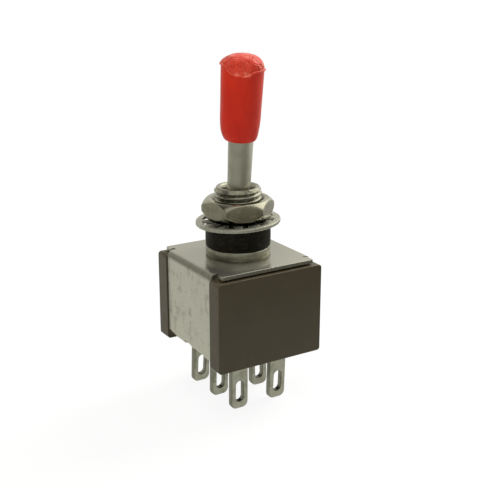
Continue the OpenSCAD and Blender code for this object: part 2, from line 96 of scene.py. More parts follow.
class Value:
    """A shader socket with Python's arithmetic, so that an expression adds Math nodes."""

    def __init__(self, shader: "Shader", socket: bpy.types.NodeSocket) -> None:
        """Wraps one output socket of a shader's tree."""
        self.shader, self.socket = shader, socket

    def _math(self, operation: str, first: "Value | float", second: "Value | float") -> "Value":
        """Adds a Math node of that operation."""
        return self.shader.node("ShaderNodeMath", {"operation": operation}, {0: first, 1: second})

    def __add__(self, other: "Value | float") -> "Value":
        """Sum."""
        return self._math("ADD", self, other)

    def __radd__(self, other: "Value | float") -> "Value":
        """Sum, the other way round."""
        return self._math("ADD", other, self)

    def __sub__(self, other: "Value | float") -> "Value":
        """Difference."""
        return self._math("SUBTRACT", self, other)

    def __rsub__(self, other: "Value | float") -> "Value":
        """Difference, the other way round."""
        return self._math("SUBTRACT", other, self)

    def __mul__(self, other: "Value | float") -> "Value":
        """Product."""
        return self._math("MULTIPLY", self, other)

    def __pow__(self, other: "Value | float") -> "Value":
        """Power."""
        return self._math("POWER", self, other)

    def __abs__(self) -> "Value":
        """Size without its sign."""
        return self._math("ABSOLUTE", self, 0.0)

    def at_least(self, other: "Value | float") -> "Value":
        """The larger of the two."""
        return self._math("MAXIMUM", self, other)

    def rise(self, low: float, high: float) -> "Value":
        """A smooth step from 0 below low to 1 above high.

        Args:
            low: where it leaves 0.
            high: where it reaches 1.

        Returns:
            The step.
        """
        return self.shader.node(
            "ShaderNodeMapRange",
            {"interpolation_type": "SMOOTHSTEP"},
            {"Value": self, "From Min": low, "From Max": high},
        )


class Shader:
    """A node tree, and the one method that adds nodes to it."""

    def __init__(self, tree: bpy.types.NodeTree) -> None:
        """Empties the tree, which belongs to a material or to the world."""
        self.tree = tree
        tree.nodes.clear()

    @staticmethod
    def _socket(sockets: bpy.types.bpy_prop_collection, key: "str | int") -> bpy.types.NodeSocket:
        """Finds a socket by its place, its identifier or its name.

        Args:
            sockets: a node's inputs or outputs.
            key: which of them.

        Returns:
            The socket.
        """
        if isinstance(key, int):
            return sockets[key]
        return next((s for s in sockets if s.identifier == key), None) or sockets[key]

    def node(
        self,
        kind: str,
        settings: "dict | None" = None,
        inputs: "dict | None" = None,
        output: "str | int" = 0,
    ) -> Value:
        """Adds a node.

        Args:
            kind: the node's type name.
            settings: its properties, set first.
            inputs: a number, a colour or a Value for each named socket.
            output: the socket that is returned.

        Returns:
            The output socket, wrapped.
        """
        made = self.tree.nodes.new(kind)
        for name, value in (settings or {}).items():
            setattr(made, name, value)
        for key, value in (inputs or {}).items():
            socket = self._socket(made.inputs, key)
            if isinstance(value, Value):
                self.tree.links.new(value.socket, socket)
            elif isinstance(value, tuple) and len(value) == 3 and socket.type == "RGBA":
                socket.default_value = (*value, 1)
            else:
                socket.default_value = value
        return Value(self, self._socket(made.outputs, output)) if len(made.outputs) else None

    def place(self, stretch: "tuple[float, float, float]" = (1, 1, 1), turn_x: float = 0.0) -> Value:
        """Object coordinates in millimetres.

        Args:
            stretch: how many cells a pattern gets along each axis, against the others.
            turn_x: degrees that the pattern is turned about X.

        Returns:
            The coordinates.
        """
        spot = self.node("ShaderNodeTexCoord", output="Object")
        return self.node(
            "ShaderNodeMapping",
            inputs={
                "Vector": spot,
                "Rotation": (math.radians(turn_x), 0, 0),
                "Scale": tuple(s / MM for s in stretch),
            },
        )

    def axis(self, name: str, at: "Value | None" = None) -> Value:
        """One coordinate, in millimetres."""
        return self.node("ShaderNodeSeparateXYZ", inputs={0: at or self.place()}, output=name)

    def mark(self, name: str) -> Value:
        """The piece's own attribute of that name."""
        return self.node("ShaderNodeAttribute", {"attribute_name": name}, output="Fac")

    def noise(self, at: Value, cells: float, detail: float = 2.0, rough: float = 0.5) -> Value:
        """Soft noise from 0 to 1, with that many cells in a millimetre.

        Args:
            at: coordinates, from place.
            cells: how fine it is.
            detail: how many finer layers it has.
            rough: how much each finer layer counts.

        Returns:
            The noise.
        """
        return self.node(
            "ShaderNodeTexNoise", inputs={"Vector": at, "Scale": cells, "Detail": detail, "Roughness": rough}
        )

    def cells(self, at: Value, cells: float) -> Value:
        """Distance to the nearest of scattered points, with that many points to a millimetre."""
        return self.node("ShaderNodeTexVoronoi", inputs={"Vector": at, "Scale": cells}, output="Distance")

    def mix(self, factor: "Value | float", low: "Value | Colour", high: "Value | Colour") -> Value:
        """A colour between two others.

        Args:
            factor: 0 for low and 1 for high.
            low: one colour.
            high: the other colour.

        Returns:
            The mixture.
        """
        return self.node(
            "ShaderNodeMix",
            {"data_type": "RGBA"},
            {"Factor_Float": factor, "A_Color": low, "B_Color": high},
            "Result_Color",
        )

    def crevice(self, reach: float) -> Value:
        """1 deep in a corner or groove, and 0 in the open, by what stands within reach millimetres."""
        return 1 - self.node("ShaderNodeAmbientOcclusion", {"samples": 8}, {"Distance": reach * MM}, "AO")

    def bump(self, height: Value, depth: float, under: "Value | None" = None) -> Value:
        """A normal bent by a height from 0 to 1 that stands for depth millimetres."""
        inputs = {"Height": height, "Distance": depth * MM, "Strength": 1.0}
        return self.node("ShaderNodeBump", inputs=inputs | ({"Normal": under} if under else {}))


def coat(name: str, build: "Callable[[Shader], Value]") -> bpy.types.Material:
    """Makes a material whose surface is what build adds to its shader.

    Args:
        name: the material's name.
        build: given the shader, returns the surface.

    Returns:
        The material.
    """
    material = bpy.data.materials.new(name)
    material.use_nodes = True
    shader = Shader(material.node_tree)
    shader.node("ShaderNodeOutputMaterial", inputs={"Surface": build(shader)})
    return material


def dimmed(colour: Colour, share: float) -> Colour:
    """A colour darkened to a share of its light."""
    return tuple(share * part for part in colour)


# ------------------------------------------------------------------------------- finishes


class Finish:
    """What every finish shares: the Principled shader, and two methods that fill its sockets."""

    name: str

    def paint(self, shader: Shader) -> dict:
        """What varies over the surface, by socket name."""
        raise NotImplementedError

    def steady(self) -> dict:
        """What is the same all over, by socket name."""
        return {}

    def material(self) -> bpy.types.Material:
        """Makes the material.

        Returns:
            The material.
        """
        return coat(
            self.name,
            lambda shader: shader.node("ShaderNodeBsdfPrincipled", inputs=self.steady() | self.paint(shader)),
        )


@dataclass(frozen=True)
class PlatedMetal(Finish):
    """Plated metal with tarnish in soft patches, and marks left by the tool that made it."""

    name: str
    colour: Colour
    tarnish: Colour
    roughness: float
    marks: tuple[float, float, float]  # cells to a millimetre along X, Y and Z
    mark_depth: float
    patch: float = 0.5  # tarnish patches to a millimetre
    lean: float = 0.0  # degrees that the marks are turned about X
    pits: float = 0.0  # depth of scattered pits
    painted_shade: float = 0.0  # painted shade: how dark corners and grooves are painted, by ambient occlusion
    edges: float = 0.0  # how much darker the cut edges are, where the piece has a rim attribute
    haze: float = 0.0  # how milky the shine is
    patch_share: float = 0.6  # tarnish in the colour of a patch
    mark_share: float = 0.25  # tarnish in the colour of a mark
    patch_span: Span = (0.42, 0.7)
    pit_cells: float = 4.5
    pit_span: Span = (0.0, 0.22)
    reach: float = 0.7  # how far off something makes a corner dark
    corner_span: Span = (0.1, 0.75)
    uneven: tuple[float, float, float] = (0.16, 0.08, 0.08)  # roughness from marks, patches and grain

    def paint(self, shader: Shader) -> dict:
        """Tarnish in the colour, marks and pits in the bump, and both in the roughness.

        Args:
            shader: the shader that the nodes are added to.

        Returns:
            What varies, by the Principled shader's socket names.
        """
        at = shader.place()
        marks = shader.noise(shader.place(self.marks, self.lean), 1.0, 3, 0.6)
        patches = shader.noise(at, self.patch, 4, 0.6).rise(*self.patch_span)
        grain = shader.noise(at, 9)
        normal = shader.bump(marks, self.mark_depth)
        if self.pits:
            normal = shader.bump(shader.cells(at, self.pit_cells).rise(*self.pit_span), self.pits, normal)
        colour = shader.mix(patches * self.patch_share + marks * self.mark_share, self.colour, self.tarnish)
        # Painted shade: corners and grooves are darkened by ambient occlusion, towards a dim tarnish colour.
        if self.painted_shade:
            corners = shader.crevice(self.reach).rise(*self.corner_span)
            colour = shader.mix(corners * self.painted_shade, colour, dimmed(self.tarnish, 0.12))
        if self.edges:
            colour = shader.mix(shader.mark("rim") * self.edges, colour, dimmed(self.tarnish, 0.5))
        by_mark, by_patch, by_grain = self.uneven
        rough = self.roughness + (marks - 0.5) * by_mark + patches * by_patch + (grain - 0.5) * by_grain
        return {"Base Color": colour, "Roughness": rough, "Normal": normal}

    def steady(self) -> dict:
        """Metal, less its haze."""
        return {"Metallic": 1 - self.haze}


@dataclass(frozen=True)
class StampedSteel(Finish):
    """Sheet steel, bright and smooth on the plate, and matte and uneven on the legs."""

    name: str = "stamped_steel"
    plate: Colour = (0.43, 0.42, 0.36)
    leg: Colour = (0.64, 0.64, 0.56)
    # Colour of the legs' mottle, and of the painted shade along the bend.
    mottle_and_bend_shade: Colour = (0.17, 0.16, 0.12)
    leg_x: float = 6.95
    bend_z: float = 18.5
    haze: float = 0.13  # how milky the plate's shine is
    plate_rough: float = 0.15
    leg_rough: float = 0.42
    dent: float = 0.13  # depths of the bumps
    grit: float = 0.012
    roll: float = 0.004
    dent_span: Span = (0.48, 0.7)
    scuff_span: Span = (0.55, 0.75)

    def paint(self, shader: Shader) -> dict:
        """The side that a point is on decides between two finishes, and painted shade darkens the bend.

        Args:
            shader: the shader that the nodes are added to.

        Returns:
            What varies, by the Principled shader's socket names.
        """
        at = shader.place()
        off = abs(shader.axis("X", at))
        side = off.rise(self.leg_x - 0.35, self.leg_x + 0.2)
        grit = shader.noise(at, 14, 3, 0.7)
        dents = shader.noise(shader.place((1, 1.2, 0.9)), 0.9, 5, 0.66)
        scuffs = shader.noise(shader.place((1, 1.3, 0.8)), 2.6, 3, 0.6)
        rolling = shader.noise(shader.place((0.25, 6, 1)), 1.0)
        bend = (1 - abs(shader.axis("Z", at) - self.bend_z).rise(0.15, 0.75)) * off.rise(6.6, 7.0)
        worn = dents.rise(*self.dent_span) * 0.4 + scuffs.rise(*self.scuff_span) * 0.25
        colour = shader.mix(side, self.plate, self.leg)
        colour = shader.mix(worn * side + rolling * 0.15 * (1 - side), colour, self.mottle_and_bend_shade)
        # Painted shade: the fold between the plate and the legs is darkened.
        colour = shader.mix(bend * 0.8, colour, self.mottle_and_bend_shade)
        rough = (self.plate_rough + rolling * 0.1) * (1 - side) + (self.leg_rough + grit * 0.2) * side
        normal = shader.bump(grit * side, self.grit)
        normal = shader.bump((dents + scuffs * 0.6) * side, self.dent, normal)
        return {
            "Base Color": colour,
            "Roughness": rough,
            "Metallic": 1 - (1 - side) * self.haze,
            "Normal": shader.bump(rolling, self.roll, normal),
        }


@dataclass(frozen=True)
class MouldedPhenolic(Finish):
    """Brown moulding compound with a faint mottle and a moulded skin."""

    name: str = "moulded_phenolic"
    colour: Colour = (0.042, 0.032, 0.014)
    pale: Colour = (0.074, 0.061, 0.034)
    roughness: float = 0.38
    cloud_span: Span = (0.35, 0.75)
    speck_span: Span = (0.03, 0.13)
    pale_shares: tuple[float, float, float] = (0.10, 0.3, 0.12)  # in clouds, specks and grain
    skin_depth: float = 0.02
    grain_depth: float = 0.006

    def paint(self, shader: Shader) -> dict:
        """Cloudy mottle, fine filler specks, and a skin that is uneven over about a millimetre.

        Args:
            shader: the shader that the nodes are added to.

        Returns:
            What varies, by the Principled shader's socket names.
        """
        at = shader.place()
        clouds = shader.noise(at, 0.35, 4, 0.55).rise(*self.cloud_span)
        specks = 1 - shader.cells(at, 5).rise(*self.speck_span)
        skin = shader.noise(at, 1.3, 3)
        grain = shader.noise(at, 18, 2, 0.6)
        cloudy, specked, grained = self.pale_shares
        return {
            "Base Color": shader.mix(
                clouds * cloudy + specks * specked + grain * grained, self.colour, self.pale
            ),
            "Roughness": self.roughness + (skin - 0.5) * 0.2 + specks * 0.15,
            "Normal": shader.bump(grain, self.grain_depth, shader.bump(skin, self.skin_depth)),
        }

    def steady(self) -> dict:
        """A dull moulded shine."""
        return {"Specular IOR Level": 0.4}


@dataclass(frozen=True)
class SealRubber(Finish):
    """Black rubber with a dusty bloom and a moulded grain."""

    name: str = "seal_rubber"
    colour: Colour = (0.002, 0.002, 0.001)
    bloom: Colour = (0.026, 0.022, 0.007)
    roughness: float = 0.42
    bloom_span: Span = (0.45, 0.75)
    grain_depth: float = 0.01

    def paint(self, shader: Shader) -> dict:
        """Bloom in patches, and a fine grain.

        Args:
            shader: the shader that the nodes are added to.

        Returns:
            What varies, by the Principled shader's socket names.
        """
        bloom = shader.noise(shader.place((1, 1, 2.5)), 1.2, 4, 0.6).rise(*self.bloom_span)
        grain = shader.noise(shader.place(), 12, 3, 0.6)
        return {
            "Base Color": shader.mix(bloom * 0.6 + grain * 0.15, self.colour, self.bloom),
            "Roughness": self.roughness + bloom * 0.2 + (grain - 0.5) * 0.15,
            "Normal": shader.bump(grain, self.grain_depth),
        }

    def steady(self) -> dict:
        """Hardly any shine."""
        return {"Specular IOR Level": 0.12}


@dataclass(frozen=True)
class SoftVinyl(Finish):
    """Red vinyl, smooth on the sleeve, and creased and paler on the gathered end.

    The cap's dome and lip attributes say where the gathered end and the moulding lip are.
    """

    name: str = "soft_vinyl"
    colour: Colour = (0.52, 0.020, 0.004)
    deep: Colour = (0.42, 0.012, 0.003)
    pale: Colour = (0.80, 0.15, 0.095)
    roughness: float = 0.36
    sleeve: Span = (34, 42)  # the heights between which painted light makes the sleeve lighter towards the top
    painted_light_side: Span = (-1.6, 1.8)  # where painted light makes the dome paler, across its width
    patch_span: Span = (0.52, 0.66)
    dust_span: Span = (0.02, 0.06)
    crease_depth: float = 0.16
    wobble: float = 0.08
    skin_depth: float = 0.012

    def paint(self, shader: Shader) -> dict:
        """Cloudy tone and painted light up the sleeve, dust specks, creases where the end was gathered, and
        painted highlights on the dome and lip.

        Args:
            shader: the shader that the nodes are added to.

        Returns:
            What varies, by the Principled shader's socket names.
        """
        at = shader.place()
        dome, lip = shader.mark("dome"), shader.mark("lip")
        clouds = shader.noise(shader.place((1, 1, 0.5)), 0.6, 3)
        creases = shader.noise(shader.place((1, 1, 1.3)), 0.9, 3, 0.55)
        ridges = 1 - abs(creases - 0.5).rise(0.0, 0.09)
        patches = creases.rise(*self.patch_span)
        dust = 1 - shader.cells(at, 2.6).rise(*self.dust_span)
        skin = shader.noise(at, 5, 3, 0.55)
        # Cloudy tone, and painted light that makes the sleeve lighter towards the top.
        depth = clouds.rise(0.35, 0.65) * 0.5 + 0.6 - shader.axis("Z", at).rise(*self.sleeve) * 0.5
        # Painted highlight: the dome grows paler on the side that faces the light.
        painted_light_side = (shader.axis("X", at) * 0.85 - shader.axis("Y", at) * 0.53).rise(*self.painted_light_side)
        # The gathered end's pale patches and ridges: partly real creasing, partly painted highlight.
        gathered = dome * (0.05 + painted_light_side * 0.08 + patches * (0.25 + painted_light_side * 0.4) + ridges * 0.12)
        colour = shader.mix(depth.at_least(0.0), self.colour, self.deep)
        # Painted highlight along the moulding lip, with the gathered end's paleness and real dust specks.
        colour = shader.mix(gathered + lip * (0.25 + patches * 0.3) + dust * 0.3, colour, self.pale)
        normal = shader.bump((patches * 0.6 + ridges * 0.5) * dome, self.crease_depth)
        normal = shader.bump(skin, self.skin_depth, shader.bump(clouds, self.wobble, normal))
        return {
            "Base Color": colour,
            "Roughness": self.roughness - dome * 0.12 + (skin - 0.5) * 0.16,
            "Coat Weight": dome * patches * 0.5,
            "Normal": normal,
        }

    def steady(self) -> dict:
        """A faint shine, and a softer one in the gathers."""
        return {"Specular IOR Level": 0.15, "Coat Roughness": 0.16}


@dataclass(frozen=True)
class PlainMoulding(Finish):
    """A plain moulded plastic, such as nylon, with a faint cloud and grain."""

    name: str
    colour: Colour
    shade: Colour
    roughness: float

    def paint(self, shader: Shader) -> dict:
        """Faint clouds in the colour and a fine grain in the bump.

        Args:
            shader: the shader that the nodes are added to.

        Returns:
            What varies, by the Principled shader's socket names.
        """
        at = shader.place()
        grain = shader.noise(at, 10)
        return {
            "Base Color": shader.mix(shader.noise(at, 0.8, 3), self.colour, self.shade),
            "Roughness": self.roughness + (grain - 0.5) * 0.15,
            "Normal": shader.bump(grain, 0.006),
        }
# --------------------------------------------------------------------------------- meshes


def grid_quads(rows: int, columns: int, closed: bool) -> np.ndarray:
    """Quads over rows of points, where each row is a loop.

    Args:
        rows: how many rows there are.
        columns: points in a row.
        closed: joins the last row to the first.

    Returns:
        An array of four point numbers a quad.
    """
    i = np.arange(rows if closed else rows - 1)[:, None]
    near = np.arange(columns)[None, :]
    low, high, far = i * columns, (i + 1) % rows * columns, (near + 1) % columns
    return np.stack([low + near, low + far, high + far, high + near], -1).reshape(-1, 4)


def put_mesh(
    name: str, points: np.ndarray, quads: np.ndarray, crease: float = 35.0, marks: "dict | None" = None
) -> bpy.types.Object:
    """Makes an object from points in millimetres and quads.

    Points that meet are merged, which closes seams and poles, and faces are turned outwards.

    Args:
        name: the piece's name.
        points: an array of points, in millimetres, in any grid shape.
        quads: four point numbers a face.
        crease: edges sharper than this many degrees stay sharp.
        marks: numbers for the points, by attribute name, for a material that follows the surface.

    Returns:
        The new object, linked to the scene.
    """
    points = np.ascontiguousarray(points.reshape(-1, 3) * MM, np.float32)
    mesh = bpy.data.meshes.new(name)
    mesh.vertices.add(len(points))
    mesh.vertices.foreach_set("co", points.ravel())
    mesh.loops.add(quads.size)
    mesh.loops.foreach_set("vertex_index", quads.ravel().astype(np.int32))
    mesh.polygons.add(len(quads))
    mesh.polygons.foreach_set("loop_start", np.arange(0, quads.size, 4, dtype=np.int32))
    mesh.update(calc_edges=True)
    for mark, values in (marks or {}).items():
        numbers = values.astype(np.float32).ravel()
        mesh.attributes.new(mark, "FLOAT", "POINT").data.foreach_set("value", numbers)
    mesh.validate()
    made = bmesh.new()
    made.from_mesh(mesh)
    bmesh.ops.remove_doubles(made, verts=made.verts, dist=2e-6)
    bmesh.ops.dissolve_degenerate(made, edges=made.edges, dist=1e-7)
    bmesh.ops.recalc_face_normals(made, faces=made.faces)
    made.to_mesh(mesh)
    made.free()
    item = bpy.data.objects.new(name, mesh)
    bpy.context.scene.collection.objects.link(item)
    shade(item, crease)
    return item
def put_grid(
    name: str, points: np.ndarray, closed: bool, crease: float = 35.0, marks: "dict | None" = None
) -> bpy.types.Object:
    """Makes an object from rows of points, where each row is a loop.

    Args:
        name: the piece's name.
        points: an array of shape (rows, columns, 3), in millimetres.
        closed: joins the last row to the first.
        crease: edges sharper than this many degrees stay sharp.
        marks: numbers for the points, by attribute name.

    Returns:
        The new object, linked to the scene.
    """
    return put_mesh(name, points, grid_quads(*points.shape[:2], closed), crease, marks)
def shade(item: bpy.types.Object, crease: float) -> None:
    """Shades a piece smooth, with edges over crease degrees kept sharp.

    Args:
        item: the piece.
        crease: edges sharper than this many degrees stay sharp.
    """
    mesh = item.data
    mesh.polygons.foreach_set("use_smooth", np.ones(len(mesh.polygons), bool))
    mesh.set_sharp_from_angle(angle=math.radians(crease))
    mesh.update()


def around(steps: int) -> np.ndarray:
    """Angles at even steps round a circle, in radians."""
    return np.arange(steps) * TURN / steps


def revolved(profile: np.ndarray, segments: int) -> np.ndarray:
    """Points of a profile turned about Z.

    A point's radius is taken along X and Y by the cosine and sine of the turn, and its height is
    kept.

    Args:
        profile: (radius, height) pairs.
        segments: steps round the circle.

    Returns:
        An array of shape (profile points, segments, 3).
    """
    turn = around(segments)
    radius, height = profile[:, :1], profile[:, 1:]
    return np.stack([radius * np.cos(turn), radius * np.sin(turn), height + 0 * turn], -1)


def along(corners: Sequence[tuple[float, float]], step: float) -> np.ndarray:
    """Points at even steps along a line through corners, which stay points of it.

    Args:
        corners: the line's corners, in order.
        step: the largest distance between neighbours.

    Returns:
        An array of points.
    """
    line = np.asarray(corners, float)
    runs = []
    for start, end in zip(line[:-1], line[1:]):
        count = max(2, int(np.linalg.norm(end - start) / step) + 2)
        runs.append(start + (end - start) * np.linspace(0, 1, count)[:-1, None])
    return np.vstack([*runs, line[-1:]])


def rounded(corners: Sequence[tuple[float, float]], radius: float, steps: int = 4) -> np.ndarray:
    """A closed outline with each corner cut to a curve.

    Each corner becomes a quadratic curve between the points radius away from it on its two sides.

    Args:
        corners: the outline's corners, in order.
        radius: how far from a corner its curve starts, at most 0.45 of the side.
        steps: points on each curve, less one.

    Returns:
        An array of points.
    """
    line = np.asarray(corners, float)
    back, ahead = np.roll(line, 1, 0) - line, np.roll(line, -1, 0) - line
    lengths = [np.linalg.norm(side, axis=1, keepdims=True) for side in (back, ahead)]
    start = line + back / lengths[0] * np.minimum(radius, 0.45 * lengths[0])
    end = line + ahead / lengths[1] * np.minimum(radius, 0.45 * lengths[1])
    t = np.linspace(0, 1, steps + 1)[None, :, None]
    curve = (1 - t) ** 2 * start[:, None] + 2 * t * (1 - t) * line[:, None] + t**2 * end[:, None]
    return curve.reshape(-1, 2)


def waves(turn: np.ndarray, height: np.ndarray, seed: int, turns: Sequence[int], pitch: float) -> np.ndarray:
    """Uneven waves over a turned surface, from about -1 to 1.

    The sum of sines of whole multiples of the turn plus a multiple of the height, with seeded
    phases, so that the surface closes on itself.

    Args:
        turn: angle round the axis, in radians.
        height: height along the axis, in millimetres.
        seed: which waves.
        turns: whole numbers of waves round the axis.
        pitch: length of the shortest wave along the axis.

    Returns:
        An array in the shape of turn and height together.
    """
    rng = np.random.default_rng(seed)
    total = np.zeros(np.broadcast(turn, height).shape)
    for count in turns:
        climb = rng.uniform(-1, 1) * TURN / pitch
        total += np.sin(count * turn + climb * height + rng.uniform(0, TURN)) * rng.uniform(0.5, 1)
    return total / len(turns)


def weigh(item: bpy.types.Object) -> None:
    """Turns the normals of a rounded solid towards its large faces, so that they look flat.

    Args:
        item: the piece.
    """
    change = item.modifiers.new("weigh", "WEIGHTED_NORMAL")
    change.mode, change.weight, change.keep_sharp = "FACE_AREA", 100, True
    finished_copy(item)


def finished_copy(item: bpy.types.Object) -> None:
    """Puts a piece's modifiers into its mesh.

    Args:
        item: the piece.
    """
    seen = item.evaluated_get(bpy.context.evaluated_depsgraph_get())
    item.data = bpy.data.meshes.new_from_object(seen)
    item.modifiers.clear()


def cut(item: bpy.types.Object, tool: bpy.types.Object, operation: str) -> None:
    """Joins a tool to a piece, or takes it away, and deletes the tool.

    Args:
        item: the piece.
        tool: the solid that is joined or taken away.
        operation: UNION or DIFFERENCE.
    """
    change = item.modifiers.new(operation.lower(), "BOOLEAN")
    change.operation, change.object, change.solver = operation, tool, "EXACT"
    finished_copy(item)
    bpy.data.objects.remove(tool)


def bar(name: str, low: Sequence[float], high: Sequence[float]) -> bpy.types.Object:
    """A closed box between two corners, for joining or cutting.

    Args:
        name: the box's name.
        low: the corner with the lowest x, y and z, in millimetres.
        high: the opposite corner.

    Returns:
        The new object.
    """
    (left, front, bottom), (right, back, top) = low, high
    section = rounded([(left, front), (right, front), (right, back), (left, back)], 0.0001, 1)
    centre = np.broadcast_to([(left + right) / 2, (front + back) / 2], section.shape)
    rings = np.stack([centre, section, section, centre])
    levels = np.broadcast_to(np.array([bottom, bottom, top, top])[:, None, None], (*rings.shape[:2], 1))
    return put_grid(name, np.concatenate([rings, levels], -1), False)


def shifted(z: float) -> Matrix:
    """A shift up Z, in millimetres."""
    return Matrix.Translation((0, 0, z * MM))


def cross_rod(name: str, radius: float, half: float) -> bpy.types.Object:
    """A closed round rod along X, for joining or cutting."""
    profile = np.array([(0, -half), (radius, -half), (radius, half), (0, half)], float)
    return put_grid(name, revolved(profile, 48)[..., [2, 0, 1]], False)


def join(item: bpy.types.Object, other: bpy.types.Object) -> None:
    """Puts another piece's mesh into a piece as a shell of its own, and deletes it.

    Args:
        item: the piece.
        other: the piece that is put into it.
    """
    made = bmesh.new()
    made.from_mesh(item.data)
    made.from_mesh(other.data)
    made.to_mesh(item.data)
    made.free()
    bpy.data.objects.remove(other)
    shade(item, 40.0)


def beside(spots: np.ndarray, y: float, slack: float = 0.01) -> np.ndarray:
    """Which spots lie in one of the planes at y and at minus y."""
    return np.abs(np.abs(spots[:, 1]) - y) < slack


Where = Callable[[np.ndarray], np.ndarray]
@dataclass(frozen=True)
class Rounding:
    """Which sharp edges of a solid are rounded, and how much."""

    where: Where
    width: float
    segments: int = 3


def softened(node: str, name: str, roundings: Sequence[Rounding], crease: float = 40.0) -> bpy.types.Object:
    """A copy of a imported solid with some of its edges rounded.

    Args:
        node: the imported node.
        name: the new piece's name.
        roundings: the edges that are rounded, each lot by a test of the middles of edges.
        crease: edges sharper than this many degrees stay sharp.

    Returns:
        The new object.
    """
    mesh = bpy.data.objects[node].data.copy()
    made = bmesh.new()
    made.from_mesh(mesh)
    bmesh.ops.remove_doubles(made, verts=made.verts, dist=1e-6)
    bmesh.ops.dissolve_limit(made, angle_limit=math.radians(0.8), verts=made.verts, edges=made.edges)
    for rounding in roundings:
        sharp = [e for e in made.edges if len(e.link_faces) == 2 and e.calc_face_angle(0) > math.radians(30)]
        middles = np.array([(e.verts[0].co + e.verts[1].co) / 2 for e in sharp]) / MM
        chosen = [e for e, keep in zip(sharp, rounding.where(middles)) if keep]
        bmesh.ops.bevel(
            made, geom=chosen, offset=rounding.width * MM, offset_type="OFFSET", segments=rounding.segments,
            profile=0.5, affect="EDGES", clamp_overlap=True, miter_outer="ARC",
        )
    bmesh.ops.triangulate(made, faces=[f for f in made.faces if len(f.verts) > 4])
    made.to_mesh(mesh)
    made.free()
    mesh.materials.clear()
    item = bpy.data.objects.new(name, mesh)
    bpy.context.scene.collection.objects.link(item)
    shade(item, crease)
    weigh(item)
    return item


def settle(
    item: bpy.types.Object, material: bpy.types.Material, body: Body, slot: str, *nodes: str
) -> bpy.types.Object:
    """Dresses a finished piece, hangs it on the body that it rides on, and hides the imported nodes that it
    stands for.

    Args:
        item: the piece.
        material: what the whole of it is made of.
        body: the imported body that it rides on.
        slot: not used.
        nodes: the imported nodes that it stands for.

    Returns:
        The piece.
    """
    item.data.materials.clear()
    item.data.materials.append(material)
    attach(item, body.value)
    if nodes:
        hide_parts(*nodes)
    item.data.calc_loop_triangles()
    LOG.info("%s: %d triangles on %s", item.name, len(item.data.loop_triangles), body.value)
    return item


# -------------------------------------------------------------------------------- levels


@dataclass(frozen=True)
class Levels:
    """Heights that several pieces share."""

    floor: float = 7.95
    rim: float = 18.4
    plate: float = 18.9
    collar_top: float = 20.1
    seal_top: float = 22.77
    washer: float = 23.138
    nut_bottom: float = 23.506
    bushing_top: float = 27.65
    pivot: float = 24.5


@dataclass(frozen=True)
class Thread:
    """The fine thread that the bushing and the nut share."""

    major: float = 3.0
    pitch: float = 0.64
    depth: float = 0.3
    crest: float = 0.2  # share of a turn that is flat at the crest
    ease: float = 1.15  # power that eases the flanks into the root

    def radius(self, turn: np.ndarray, height: np.ndarray) -> np.ndarray:
        """Radius of the thread's surface.

        A triangle wave of the height in pitches less the turn, clipped at the crest and eased at
        the root, taken off the major radius.

        Args:
            turn: angle round the axis, in radians.
            height: height along the axis, in millimetres.

        Returns:
            An array of radii, in the shape of both together.
        """
        phase = np.mod(height / self.pitch - turn / TURN, 1.0)
        slope = np.abs(2 * phase - 1)  # 0 in the root, 1 on the crest
        slope = np.clip(slope / (1 - self.crest), 0, 1)
        return self.major - self.depth * (1 - slope) ** self.ease


@dataclass(frozen=True)
class Tilt:
    """How the washer leans on the thread, and so how the ring under it is squeezed."""

    angle: float = 2.3
    towards: float = -31.75  # direction of the high side, in degrees

    def slope(self) -> float:
        """Rise for each millimetre towards the high side."""
        return math.tan(math.radians(self.angle))

    def lead(self) -> float:
        """Direction of the high side, in radians."""
        return math.radians(self.towards)


# ---------------------------------------------------------------------------- assemblies


